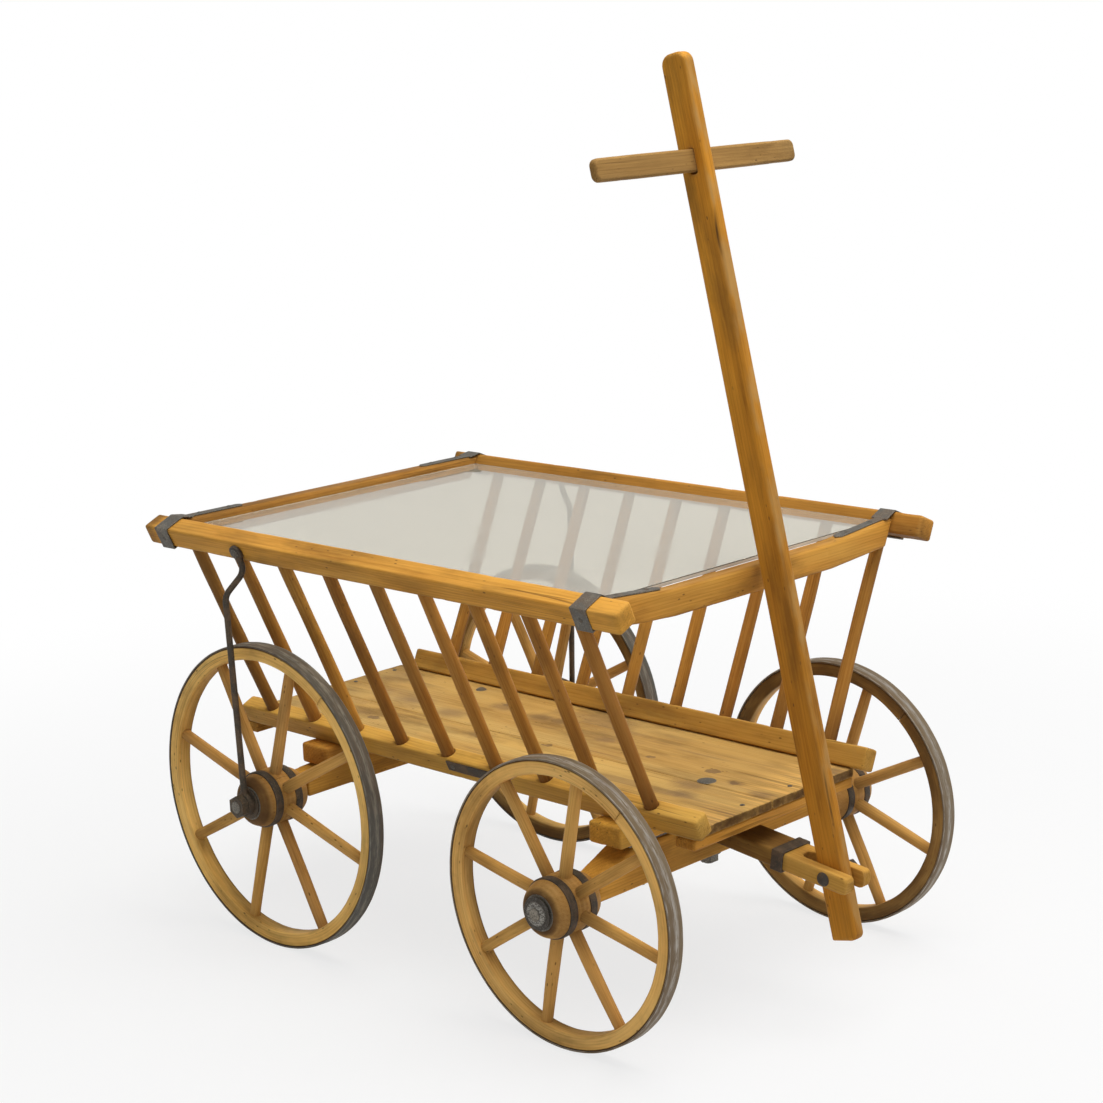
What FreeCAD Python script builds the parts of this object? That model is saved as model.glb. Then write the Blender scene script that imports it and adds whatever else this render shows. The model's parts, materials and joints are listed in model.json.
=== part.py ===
import FreeCAD, Part
import math
import os
import re
import Sketcher

# A four-wheeled hand hay wagon that serves as a low table.
# The pole end faces -Y, +Z is up and the floor is z = 0. Left is -X and right is +X, as seen
# by someone who stands at the pole and looks at the cart.

doc = FreeCAD.newDocument("WagonCartTable")
sheet = doc.addObject("Spreadsheet::Sheet", "Sizes")

# Driving sizes, in millimetres and degrees
SIZES = {
    # Layout of the running gear
    "wheelbase": 588,
    "front_axle_y": -281.8,
    "half_track": 298,
    "rear_radius": 230,
    "front_drop": 30,
    # Wheels
    "tyre_width": 26,
    "tyre_thickness": 3,
    "tyre_edge": 1.2,
    "felloe_width": 25,
    "felloe_depth": 20,
    "felloe_edge": 3,
    "felloe_joint": 1.2,
    "spoke_root_radius": 9,
    "spoke_tip_radius": 8,
    "spoke_seat": 22,
    "spoke_cover": 4,
    "hub_length": 87,
    "hub_barrel_radius": 41,
    "hub_swell": 1.5,
    "hub_nose_radius": 28,
    "hub_nose_step": 7,
    "hub_nose_shoulder": 36,
    "hub_nose_round": 18,
    "hub_tail_radius": 31,
    "hub_band_radius": 42,
    "hub_band_thickness": 3.5,
    "hub_band_width": 13,
    "hub_band_start": 12,
    "bush_thickness": 5,
    "bush_flange_radius": 25,
    "bush_flange": 3,
    # Axle arms and what holds the wheels on
    "axle_radius": 9,
    "axle_bar": 18,
    "axle_bar_length": 150,
    "axle_collar": 5,
    "axle_collar_step": 5,
    "axle_tail": 1,
    "hub_play": 0.3,
    "running_clearance": 0.05,
    "washer_thickness": 3,
    "washer_radius": 23,
    "round_nut_radius": 19,
    "round_nut_length": 5,
    "hex_nut_radius": 17,
    "hex_nut_length": 12,
    "spanner_hole_radius": 3,
    "spanner_hole_offset": 14,
    "spanner_hole_depth": 3,
    # Beams, bolsters and wear plates
    "rear_beam_height": 34.1,
    "rear_beam_width": 52,
    "front_beam_width": 46,
    "beam_end_height": 27,
    "beam_crown_half": 178,
    "bolster_height": 31,
    "bolster_width": 60,
    "bolster_half": 212,
    "bolster_edge": 2.5,
    "bed_housing": 8,
    "wear_plate": 3,
    "plate_gap": 0.1,
    "upper_plate_half": 190,
    "upper_plate_width": 50,
    "lower_plate_half": 172,
    "lower_plate_width": 40,
    # Bed
    "plank_thickness": 14,
    "plank_edge": 1.5,
    "plank_gap": 0.8,
    "plank_joint_x": -10,
    "bed_tuck": 8,
    "bed_front": 126,
    "bed_rear": 221,
    "batten_thickness": 16,
    "batten_width": 34,
    "batten_inset": 3,
    # Ladder sides
    "lean": 24.08,
    "foot_x": 180,
    "rail_rise": 18.5,
    "ladder_height": 336.8,
    "bottom_rail_width": 26,
    "bottom_rail_height": 33,
    "bottom_front": 148,
    "bottom_rear": 186,
    "top_rail_width": 33,
    "top_rail_height": 31,
    "top_front": 147,
    "top_rear": 212,
    "rail_edge": 1.5,
    "rail_end": 2.5,
    "spindle_radius": 9.5,
    "spindle_tenon": 13,
    "spindle_front": 84,
    "spindle_rear": 90,
    "right_spindle_lead": 9,
    "rub_plate_length": 91,
    "rub_plate_height": 17,
    "rub_plate_thickness": 2.5,
    "rub_plate_reach": 272,
    "rub_plate_lift": 5,
    # End rails, corner straps and glass
    "front_inset": 49,
    "rear_inset": 32,
    "end_thickness": 24,
    "end_height": 40,
    "front_rise": 12.5,
    "rear_rise": 17.5,
    "end_edge": 2.5,
    "dish_half": 165,
    "dish_depth": 11,
    "dish_below": 8.5,
    "strap_width": 28,
    "strap_leg_width": 15,
    "strap_thickness": 2.5,
    "strap_leg": 102,
    "strap_bend": 30,
    "strap_point": 6,
    "strap_under": 6,
    "glass_thickness": 6,
    "glass_drop": 6,
    "glass_side_gap": 0.3,
    "glass_end_gap": 0.5,
    # Rear wheel stays
    "stay_radius": 4.75,
    "stay_gap": 0.3,
    "stay_eye_radius": 17,
    "stay_bow": 360,
    "stay_bow_drop": 66,
    "stay_hook": 13,
    "stay_hook_drop": 23.4,
    "stay_bend": 22,
    "stay_pad_radius": 12,
    "stay_pad_thickness": 6,
    "stay_bolt_radius": 3.5,
    "stay_bolt_bite": 18,
    "stay_head_radius": 8,
    "stay_head_height": 5,
    # Bolts and nails
    "kingbolt_radius": 7,
    "kingbolt_head_radius": 14,
    "kingbolt_head_height": 3,
    "kingbolt_washer_radius": 18,
    "kingbolt_nut_radius": 14,
    "kingbolt_nut_height": 12,
    "bolt_tail": 3,
    "beam_bolt_radius": 4,
    "beam_bolt_x": 140,
    "beam_bolt_head_radius": 9,
    "beam_bolt_head_height": 4,
    "beam_bolt_nut_radius": 8,
    "beam_bolt_nut_height": 7,
    "nail_radius": 1.6,
    "nail_length": 16,
    "nail_head_radius": 4,
    "nail_head_height": 1.6,
    # Tongue and fork
    "tongue_width": 56,
    "tongue_height": 25,
    "tongue_edge": 2.5,
    "tongue_tilt": 7,
    "tongue_drop": 15.5,
    "tongue_tail": 40,
    "pin_reach": 224.6,
    "fork_nose": 39,
    "fork_nose_round": 8,
    "fork_clearance": 0.75,
    "slot_back": 53,
    "tongue_band_reach": 147,
    "tongue_band_width": 20,
    "tongue_band_thickness": 2.5,
    "fork_bolt_radius": 6,
    "fork_bolt_head_radius": 10,
    "fork_bolt_head_height": 6,
    "fork_bolt_nut_radius": 11,
    "fork_bolt_nut_height": 9,
    # Pole and crossbar
    "pole_lean": 12.95,
    "pole_width": 20.5,
    "pole_depth": 43,
    "pole_edge": 3,
    "pole_top_round": 15,
    "pole_foot_round": 9,
    "pole_up": 1107,
    "pole_tail": 91,
    "crossbar_up": 965,
    "crossbar_length": 402,
    "crossbar_height": 31,
    "crossbar_thickness": 13,
    "crossbar_flat": 220,
    "crossbar_end_height": 30,
    "crossbar_end_round": 9,
    "crossbar_edge": 2.5,
    "crossbar_gap": 2.5,
}

SPOKES = 8
SPINDLES = 9

# Places and sizes that follow from the driving sizes
DERIVED = {
    "front_radius": "rear_radius - front_drop",
    "rear_axle_y": "front_axle_y + wheelbase",
    "hub_outer": "half_track + hub_length / 2",
    "bush_radius": "axle_radius + running_clearance + bush_thickness",
    "band_seat_radius": "hub_band_radius - hub_band_thickness",
    "band_end": "hub_band_start + hub_band_width",
    "beam_half": "half_track - hub_length / 2 - hub_play - axle_collar",
    "washer_x": "hub_outer + hub_play",
    "collar_end": "washer_x + washer_thickness",
    "bolster_bottom": "rear_radius - axle_bar / 2 + rear_beam_height",
    "bolster_top": "bolster_bottom + bolster_height",
    "lower_plate_bottom": "bolster_bottom - 2 * wear_plate - plate_gap",
    "front_beam_bottom": "front_radius - axle_bar / 2",
    "front_beam_height": "lower_plate_bottom - front_beam_bottom",
    "rear_beam_bottom": "rear_radius - axle_bar / 2",
    "deck_z": "bolster_top - bed_housing",
    "bed_top": "deck_z + plank_thickness",
    "bed_half": "foot_x - bed_tuck",
    "bed_length": "wheelbase + bed_front + bed_rear",
    "bed_y": "front_axle_y - bed_front + bed_length / 2",
    "foot_z": "bolster_top + rail_rise",
    "top_x": "foot_x + ladder_height * sin(lean)",
    "top_z": "foot_z + ladder_height * cos(lean)",
    "top_rail_length": "wheelbase + top_front + top_rear",
    "top_rail_y": "front_axle_y - top_front + top_rail_length / 2",
    "bottom_rail_length": "wheelbase + bottom_front + bottom_rear",
    "bottom_rail_y": "front_axle_y - bottom_front + bottom_rail_length / 2",
    "spindle_length": "ladder_height - bottom_rail_height / 2 - top_rail_height / 2 + 2 * spindle_tenon",
    "spindle_first_y": "front_axle_y - top_front + spindle_front",
    "spindle_pitch": f"(top_rail_length - spindle_front - spindle_rear) / {SPINDLES - 1}",
    "front_rail_y": "front_axle_y - top_front + front_inset + end_thickness / 2",
    "rear_rail_y": "rear_axle_y + top_rear - rear_inset - end_thickness / 2",
    "front_top": "top_z + front_rise",
    "rear_top": "top_z + rear_rise",
    "glass_bottom": "front_top - glass_drop - glass_thickness",
    "glass_length": "rear_rail_y - front_rail_y - end_thickness - 2 * glass_end_gap",
    "stay_eye": "2 * stay_radius",
    "strap_tip": "top_x - strap_bend - strap_leg",
    "strap_rise": "top_x - strap_bend",
    "tongue_z": "lower_plate_bottom - tongue_drop",
    "pin_y": "front_axle_y - pin_reach * cos(tongue_tilt)",
    "pin_z": "tongue_z - pin_reach * sin(tongue_tilt)",
    "slot_width": "pole_width + 2 * fork_clearance",
}

# Frames that whole groups of pieces are built in
GROUND = "placement(vector(0; 0; 0); rotation(vector(0; 0; 1); 0))"
TONGUE = "placement(vector(0; front_axle_y; tongue_z); rotation(vector(1; 0; 0); tongue_tilt))"
POLE = "placement(vector(0; pin_y; pin_z); rotation(vector(1; 0; 0); -pole_lean))"
LADDERS = {
    "left": "placement(vector(-foot_x; 0; foot_z); rotation(vector(0; 1; 0); -lean))",
    "right": "placement(vector(foot_x; 0; foot_z); rotation(vector(0; 1; 0); lean))",
}
SIDES = {"left": -1, "right": 1}
AXLES = {"front": ("front_axle_y", "front_radius"), "rear": ("rear_axle_y", "rear_radius")}

# Angles of the first spoke and of the felloe's joint, from the cart's rear upwards
SPOKE_PHASES = {"front_left": 11.5, "front_right": 19, "rear_left": 16.5, "rear_right": 16}
JOINT_ANGLES = {"front_left": 128, "front_right": 132, "rear_left": 128, "rear_right": 118}

TURNS = {
    "+X": "rotation(vector(0; 1; 0); 90)",
    "-X": "rotation(vector(0; 1; 0); -90)",
    "+Z": "rotation(vector(0; 0; 1); 0)",
    "-Z": "rotation(vector(1; 0; 0); 180)",
}

nodes = []


def fill_sheet():
    """Writes every driving size to the sheet, with its name as the alias."""
    for row, (name, size) in enumerate(SIZES.items(), start=1):
        sheet.set(f"A{row}", name)
        sheet.set(f"B{row}", str(size))
        sheet.setAlias(f"B{row}", name)
    doc.recompute()


def bound(text):
    """A formula of plain size names, written out so that it reads the sheet."""
    def swap(match):
        word = match.group(0)
        if word in DERIVED:
            return f"({bound(DERIVED[word])})"
        if word in SIZES:
            return f"Sizes.{word}"
        return word
    return re.sub(r"[a-z][a-z_]*", swap, text)


def measure(text):
    """The present value of a formula of size names."""
    return float(sheet.evalExpression(bound(text)))


def bind(thing, **sizes):
    """Ties each named property of an object to a formula of size names."""
    for name, text in sizes.items():
        thing.setExpression(name, bound(text))


def place(thing, frame, x="0", y="0", z="0", turn=TURNS["+Z"]):
    """Ties an object's placement to a point and a turn in a frame."""
    bind(thing, Placement=f"{frame} * placement(vector({x}; {y}; {z}); {turn})")


def node(piece):
    """Marks a finished piece for export under its own label."""
    nodes.append(piece)
    return piece


def block(name, frame, width, depth, height, x="0", y="0", z="0"):
    """A plain block, centred over x and y and standing on z."""
    piece = doc.addObject("Part::Box", name)
    bind(piece, Length=width, Width=depth, Height=height)
    place(piece, frame, f"{x} - ({width}) / 2", f"{y} - ({depth}) / 2", z)
    return piece


def rod(name, frame, radius, length, x="0", y="0", z="0", way="+Z"):
    """A round rod from a point, one way along an axis of the frame."""
    piece = doc.addObject("Part::Cylinder", name)
    bind(piece, Radius=radius, Height=length)
    place(piece, frame, x, y, z, TURNS[way])
    return piece


def dome(name, frame, radius, height, x="0", y="0", z="0", way="+Z"):
    """A low domed head that stands on a point, one way along an axis of the frame."""
    ball = f"((({radius}) ^ 2 + ({height}) ^ 2) / (2 * ({height})))"
    piece = doc.addObject("Part::Sphere", name)
    bind(piece, Radius=ball, Angle1=f"asin(({ball} - ({height})) / {ball})")
    seat = f"{frame} * placement(vector({x}; {y}; {z}); {TURNS[way]})"
    place(piece, seat, z=f"({height}) - {ball}")
    return piece


def fuse(name, pieces):
    """Pieces joined to one solid."""
    joined = doc.addObject("Part::MultiFuse", name)
    joined.Shapes = pieces
    return joined


def group(name, pieces):
    """Separate solids kept together under one name."""
    together = doc.addObject("Part::Compound", name)
    together.Links = pieces
    return together


def cut(name, base, *tools):
    """A piece with room cut for other pieces, one after the other."""
    for count, tool in enumerate(tools, start=1):
        last = count == len(tools)
        trimmed = doc.addObject("Part::Cut", name if last else f"{name}_step_{count}")
        trimmed.Base = base
        trimmed.Tool = tool
        base = trimmed
    return base


def bolt(name, frame, radius, length, head_radius, head_height, x="0", y="0", z="0", way="-Z"):
    """A bolt or nail with a domed head, whose shank starts under the head and runs one way."""
    back = {"-Z": "+Z", "+X": "-X", "-X": "+X"}[way]
    shank = rod(f"{name}_shank", frame, radius, length, x, y, z, way)
    head = dome(f"{name}_head", frame, head_radius, head_height, x, y, z, back)
    return fuse(name, [shank, head])


def hex_nut(name, frame, radius, height, bore, x="0", y="0", z="0", way="+Z"):
    """A six-sided nut that stands on a point."""
    blank = doc.addObject("Part::Prism", f"{name}_blank")
    blank.Polygon = 6
    bind(blank, Circumradius=radius, Height=height)
    place(blank, frame, x, y, z, TURNS[way])
    return cut(name, blank, rod(f"{name}_bore", frame, bore, height, x, y, z, way))


def ring(name, frame, radius, bore, length, x="0", y="0", z="0", way="+Z"):
    """A flat or long ring that starts at a point."""
    outside = rod(f"{name}_outside", frame, radius, length, x, y, z, way)
    return cut(name, outside, rod(f"{name}_bore", frame, bore, length, x, y, z, way))


def origin_plane(body, role):
    """One of a body's own origin planes."""
    return [(feature, "") for feature in body.Origin.OriginFeatures if feature.Role == role]


def outline(body, name, role, points):
    """A closed outline of straight lines, with every corner tied to the sheet."""
    sketch = body.newObject("Sketcher::SketchObject", name)
    sketch.AttachmentSupport = origin_plane(body, role)
    sketch.MapMode = "FlatFace"
    corners = [FreeCAD.Vector(measure(across), measure(up), 0) for across, up in points]
    total = len(corners)
    for index in range(total):
        sketch.addGeometry(Part.LineSegment(corners[index], corners[(index + 1) % total]))
    for index in range(total):
        sketch.addConstraint(Sketcher.Constraint("Coincident", index, 2, (index + 1) % total, 1))
    for index, ways in enumerate(points):
        for kind, text, size in zip(("DistanceX", "DistanceY"), ways, corners[index]):
            rule = sketch.addConstraint(Sketcher.Constraint(kind, -1, 1, index, 1, size))
            sketch.setExpression(f"Constraints[{rule}]", bound(text))
    return sketch


def padded(name, role, points, length):
    """A body made from an outline, padded to both sides of its plane."""
    body = doc.addObject("PartDesign::Body", name)
    pad = body.newObject("PartDesign::Pad", f"{name}_pad")
    pad.Profile = outline(body, f"{name}_outline", role, points)
    pad.SideType = "Symmetric"
    bind(pad, Length=length)
    doc.recompute()
    return body


def turned(name, points):
    """A body turned about its own X axis, from an outline of places along X and radii."""
    body = doc.addObject("PartDesign::Body", name)
    turning = body.newObject("PartDesign::Revolution", f"{name}_turning")
    profile = outline(body, f"{name}_outline", "XY_Plane", points)
    turning.Profile = profile
    turning.ReferenceAxis = (profile, ["H_Axis"])
    turning.Angle = 360
    doc.recompute()
    return body


def near(one, other):
    """Whether two lengths are the same to well under a thousandth of a millimetre."""
    return abs(one - other) < 1e-4


def ease(body, kind, test, **sizes):
    """Rounds or chamfers the edges of a body whose middle points pass a test."""
    base = body.Tip
    edges = []
    for index, edge in enumerate(base.Shape.Edges, start=1):
        if test(edge.valueAt((edge.FirstParameter + edge.LastParameter) / 2)):
            edges.append(f"Edge{index}")
    feature = body.newObject(f"PartDesign::{kind}", f"{body.Name}_{kind.lower()}_{len(body.Group)}")
    feature.Base = (base, edges)
    bind(feature, **sizes)
    doc.recompute()
    return body


def octagon(width, height, edge):
    """A rectangle with its corners cut off, centred on the origin."""
    half_width = f"({width}) / 2"
    half_height = f"({height}) / 2"
    return [
        (f"-{half_width}", f"-{half_height} + {edge}"),
        (f"-{half_width} + {edge}", f"-{half_height}"),
        (f"{half_width} - {edge}", f"-{half_height}"),
        (half_width, f"-{half_height} + {edge}"),
        (half_width, f"{half_height} - {edge}"),
        (f"{half_width} - {edge}", half_height),
        (f"-{half_width} + {edge}", half_height),
        (f"-{half_width}", f"{half_height} - {edge}"),
    ]


def bar(name, run, width, height, length, edge, end):
    """A straight bar along X or Y with broken long edges and broken ends, centred on its origin."""
    role = {"X": "YZ_Plane", "Y": "XZ_Plane"}[run]
    body = padded(name, role, octagon(width, height, edge), length)
    reach = measure(length) / 2
    along = {"X": 0, "Y": 1}[run]
    return ease(body, "Chamfer", lambda point: near(abs(point[along]), reach), Size=end)


def box_outline(width, depth, x="0", y="0"):
    """The four corners of a rectangle about a point."""
    return [
        (f"{x} - ({width}) / 2", f"{y} - ({depth}) / 2"),
        (f"{x} + ({width}) / 2", f"{y} - ({depth}) / 2"),
        (f"{x} + ({width}) / 2", f"{y} + ({depth}) / 2"),
        (f"{x} - ({width}) / 2", f"{y} + ({depth}) / 2"),
    ]


def on_top_rail(inwards, upwards):
    """Formulas for x and z of a point given from the right top rail's centre, across and up the ladder."""
    return (
        f"top_x - ({inwards}) * cos(lean) + ({upwards}) * sin(lean)",
        f"top_z + ({inwards}) * sin(lean) + ({upwards}) * cos(lean)",
    )


def inner_face(height):
    """Formula for the distance from the middle to a top rail's inner face, at a height."""
    return f"top_x - top_rail_width / 2 / cos(lean) + (({height}) - top_z) * tan(lean)"


def strap_start(top, fall):
    """Formula for the height of an end rail's top where a corner strap's leg starts on it."""
    return f"({top} - ({inner_face(top)} - strap_rise) * {fall})"


def wheel_frame(axle, side):
    """A wheel's own frame: X points outwards along the axle from the middle of the cart."""
    axle_y, radius = AXLES[axle]
    turn = 0 if side == "right" else 180
    return f"placement(vector(0; {axle_y}; {radius}); rotation(vector(0; 0; 1); {turn}))"


def make_wheel(axle, side):
    """One wheel: hub, bands, bush, spokes, felloe and tyre."""
    name = f"{axle}_{side}"
    frame = wheel_frame(axle, side)
    radius = AXLES[axle][1]
    felloe_radius = f"{radius} - tyre_thickness"

    spokes = []
    length = f"{radius} - tyre_thickness - spoke_cover - spoke_seat"
    for index in range(SPOKES):
        spoke = doc.addObject("Part::Cone", f"{name}_spoke_{index + 1}")
        bind(spoke, Radius1="spoke_root_radius", Radius2="spoke_tip_radius", Height=length)
        angle = SPOKE_PHASES[name] + 360 / SPOKES * index - 90
        across = f"placement(vector({SIDES[side]} * half_track; {AXLES[axle][0]}; {radius});"
        outwards = f"{across} rotation(vector(1; 0; 0); {angle}))"
        place(spoke, outwards, z="spoke_seat")
        spokes.append(spoke)
    node(group(f"{name}_spokes", spokes))
    spokes = nodes[-1]

    blank = turned(f"{name}_hub_blank", [
        ("-hub_length / 2", "bush_radius"),
        ("hub_length / 2 - bush_flange", "bush_radius"),
        ("hub_length / 2 - bush_flange", "bush_flange_radius"),
        ("hub_length / 2", "bush_flange_radius"),
        ("hub_length / 2", "hub_nose_radius"),
        ("hub_length / 2 - hub_nose_step", "hub_nose_shoulder"),
        ("band_end", "hub_band_radius - hub_band_thickness / 2"),
        ("band_end", "band_seat_radius"),
        ("hub_band_start", "band_seat_radius"),
        ("hub_band_start", "hub_barrel_radius"),
        ("0", "hub_barrel_radius + hub_swell"),
        ("-hub_band_start", "hub_barrel_radius"),
        ("-hub_band_start", "band_seat_radius"),
        ("-band_end", "band_seat_radius"),
        ("-band_end", "hub_band_radius - hub_band_thickness / 2"),
        ("-hub_length / 2", "hub_tail_radius"),
    ])
    shoulder = measure("hub_length / 2 - hub_nose_step")
    ease(blank, "Fillet", lambda point: near(point.x, shoulder), Radius="hub_nose_round")
    place(blank, frame, "half_track")
    node(cut(f"{name}_hub", blank, spokes))

    bands = []
    for place_name, start in (("inner", "-band_end"), ("outer", "hub_band_start")):
        bands.append(ring(f"{name}_{place_name}_band", frame, "hub_band_radius", "band_seat_radius",
                          "hub_band_width", f"half_track + {start}", way="+X"))
    node(group(f"{name}_hub_bands", bands))

    bush = turned(f"{name}_hub_bush", [
        ("-hub_length / 2", "axle_radius + running_clearance"),
        ("hub_length / 2", "axle_radius + running_clearance"),
        ("hub_length / 2", "bush_flange_radius"),
        ("hub_length / 2 - bush_flange", "bush_flange_radius"),
        ("hub_length / 2 - bush_flange", "bush_radius"),
        ("-hub_length / 2", "bush_radius"),
    ])
    place(bush, frame, "half_track")
    node(bush)

    felloe_inside = f"{felloe_radius} - felloe_depth"
    blank = turned(f"{name}_felloe_blank", [
        ("-felloe_width / 2", felloe_radius),
        ("-felloe_width / 2", f"{felloe_inside} + felloe_edge"),
        ("-felloe_width / 2 + felloe_edge", felloe_inside),
        ("felloe_width / 2 - felloe_edge", felloe_inside),
        ("felloe_width / 2", f"{felloe_inside} + felloe_edge"),
        ("felloe_width / 2", felloe_radius),
    ])
    place(blank, frame, "half_track")
    joint = doc.addObject("Part::Box", f"{name}_felloe_joint")
    bind(joint, Length="2 * felloe_width", Width="felloe_joint", Height="2 * felloe_depth")
    across = f"placement(vector({SIDES[side]} * half_track; {AXLES[axle][0]}; {radius});"
    place(joint, f"{across} rotation(vector(1; 0; 0); {JOINT_ANGLES[name] - 90}))",
          "-felloe_width", "-felloe_joint / 2", f"{felloe_inside} - felloe_depth / 2")
    node(cut(f"{name}_felloe", blank, spokes, joint))

    tyre = turned(f"{name}_tyre", [
        ("-tyre_width / 2", felloe_radius),
        ("tyre_width / 2", felloe_radius),
        ("tyre_width / 2", f"{radius} - tyre_edge"),
        ("tyre_width / 2 - tyre_edge", radius),
        ("-tyre_width / 2 + tyre_edge", radius),
        ("-tyre_width / 2", f"{radius} - tyre_edge"),
    ])
    place(tyre, frame, "half_track")
    node(tyre)


def make_axle_arms(axle, nut_end):
    """The pair of iron arms of one axle: a square shank in the beam, a collar and a round arm."""
    arms = []
    for side in SIDES:
        frame = wheel_frame(axle, side)
        name = f"{axle}_{side}_arm"
        shank = block(f"{name}_shank", frame, "axle_bar_length", "axle_bar", "axle_bar",
                      "beam_half - axle_bar_length / 2", z="-axle_bar / 2")
        collar = rod(f"{name}_collar", frame, "axle_radius + axle_collar_step", "axle_collar",
                     "beam_half", way="+X")
        reach = f"{nut_end} + axle_tail - beam_half"
        arm = rod(f"{name}_round", frame, "axle_radius", reach, "beam_half", way="+X")
        arms.append(fuse(name, [shank, collar, arm]))
    return group(f"{axle}_axle_arms", arms)


def make_axle_washer(axle, side):
    """The washer between a hub's nose and what is tightened against it."""
    return ring(f"{axle}_{side}_washer", wheel_frame(axle, side), "washer_radius", "axle_radius",
                "washer_thickness", "washer_x", way="+X")


def make_round_nuts():
    """Washers and round nuts with two spanner holes on the front axle arms."""
    pieces = []
    for side in SIDES:
        frame = wheel_frame("front", side)
        name = f"front_{side}_nut"
        pieces.append(make_axle_washer("front", side))
        blank = ring(f"{name}_blank", frame, "round_nut_radius", "axle_radius", "round_nut_length",
                     "collar_end", way="+X")
        hole_x = "collar_end + round_nut_length - spanner_hole_depth"
        holes = []
        for way in (-1, 1):
            holes.append(rod(f"{name}_hole_{len(holes) + 1}", frame, "spanner_hole_radius",
                             "spanner_hole_depth", hole_x, z=f"{way} * spanner_hole_offset", way="+X"))
        pieces.append(cut(name, blank, group(f"{name}_holes", holes)))
    node(group("front_axle_nuts", pieces))


def make_hex_nuts():
    """Washers and six-sided nuts on the rear axle arms, outside the stays' eyes."""
    pieces = []
    for side in SIDES:
        pieces.append(make_axle_washer("rear", side))
        pieces.append(hex_nut(f"rear_{side}_nut", wheel_frame("rear", side), "hex_nut_radius",
                              "hex_nut_length", "axle_radius", "collar_end + stay_eye", way="+X"))
    node(group("rear_axle_nuts", pieces))


def beam_outline(bottom, height):
    """An axle beam seen from the front: its top falls away to both ends."""
    return [
        ("-beam_half", bottom),
        ("beam_half", bottom),
        ("beam_half", f"{bottom} + beam_end_height"),
        ("beam_crown_half", f"{bottom} + {height}"),
        ("-beam_crown_half", f"{bottom} + {height}"),
        ("-beam_half", f"{bottom} + beam_end_height"),
    ]


def make_kingbolt():
    """The kingbolt from the bed to under the front axle beam, with its washer and nut."""
    washer_z = "front_beam_bottom - plate_gap - washer_thickness"
    nut_z = f"{washer_z} - kingbolt_nut_height"
    shank = bolt("kingbolt_pin", GROUND, "kingbolt_radius", f"bed_top - ({nut_z}) + bolt_tail",
                 "kingbolt_head_radius", "kingbolt_head_height", "0", "front_axle_y", "bed_top")
    washer = ring("kingbolt_washer", GROUND, "kingbolt_washer_radius", "kingbolt_radius",
                  "washer_thickness", "0", "front_axle_y", washer_z)
    nut = hex_nut("kingbolt_nut", GROUND, "kingbolt_nut_radius", "kingbolt_nut_height", "kingbolt_radius",
                  "0", "front_axle_y", nut_z)
    room = rod("kingbolt_room", GROUND, "kingbolt_radius + running_clearance",
               "bolster_bottom - front_beam_bottom", "0", "front_axle_y", "front_beam_bottom")
    return node(group("kingbolt", [shank, washer, nut])), room


def make_beam_bolts():
    """Bolts that hold the axle arms: through the bed at the rear, flush in the beam at the front."""
    rear = []
    front = []
    for side, way in SIDES.items():
        x = f"{way} * beam_bolt_x"
        rear.append(bolt(f"bed_bolt_{side}", GROUND, "beam_bolt_radius",
                         "bed_top - rear_beam_bottom + beam_bolt_nut_height + bolt_tail",
                         "beam_bolt_head_radius", "beam_bolt_head_height", x, "rear_axle_y", "bed_top"))
        rear.append(hex_nut(f"bed_bolt_nut_{side}", GROUND, "beam_bolt_nut_radius",
                            "beam_bolt_nut_height", "beam_bolt_radius", x, "rear_axle_y",
                            "rear_beam_bottom - beam_bolt_nut_height"))
        shank = rod(f"front_axle_bolt_shank_{side}", GROUND, "beam_bolt_radius",
                    "front_beam_height + beam_bolt_nut_height + bolt_tail", x, "front_axle_y",
                    "lower_plate_bottom", "-Z")
        head = doc.addObject("Part::Cone", f"front_axle_bolt_head_{side}")
        bind(head, Radius1="beam_bolt_head_radius", Radius2="beam_bolt_radius",
             Height="beam_bolt_head_height")
        place(head, GROUND, x, "front_axle_y", "lower_plate_bottom", TURNS["-Z"])
        front.append(fuse(f"front_axle_bolt_{side}", [shank, head]))
        front.append(hex_nut(f"front_axle_bolt_nut_{side}", GROUND, "beam_bolt_nut_radius",
                             "beam_bolt_nut_height", "beam_bolt_radius", x, "front_axle_y",
                             "front_beam_bottom - beam_bolt_nut_height"))
    return node(group("bed_bolts", rear)), node(group("front_axle_bolts", front))


def make_nails():
    """All the nails: in the corner straps, the rub plates and the bed's ends."""
    nails = []

    def nail(frame, x, y, z, way):
        nails.append(bolt(f"nail_{len(nails) + 1}", frame, "nail_radius", "nail_length",
                          "nail_head_radius", "nail_head_height", x, y, z, way))

    for side, sign in SIDES.items():
        inward = "-X" if side == "right" else "+X"
        for rail_y, top, fall in END_RAILS.values():
            for share in (0.2, 0.75):
                leg_x = f"(strap_rise - {share} * strap_leg)"
                leg_z = f"{strap_start(top, fall)} + strap_thickness - {share} * strap_leg * {fall}"
                nail(GROUND, f"{sign} * {leg_x}", rail_y, leg_z, "-Z")
            nail(LADDERS[side], f"{sign} * (top_rail_width / 2 + strap_thickness)", rail_y, "ladder_height",
                 inward)
        for end in (-1, 1):
            nail(LADDERS[side], f"{sign} * (bottom_rail_width / 2 + rub_plate_thickness)",
                 f"front_axle_y + rub_plate_reach + {end} * (rub_plate_length / 2 - 3 * nail_head_radius)",
                 "rub_plate_lift", inward)
        for end_y, back in (("bed_y - bed_length / 2", 1), ("bed_y + bed_length / 2", -1)):
            for share in (0.3, 0.8):
                nail(GROUND, f"{sign} * {share} * bed_half",
                     f"{end_y} + {back} * (batten_inset + batten_width / 2)", "bed_top", "-Z")
    return node(group("nails", nails))


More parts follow.
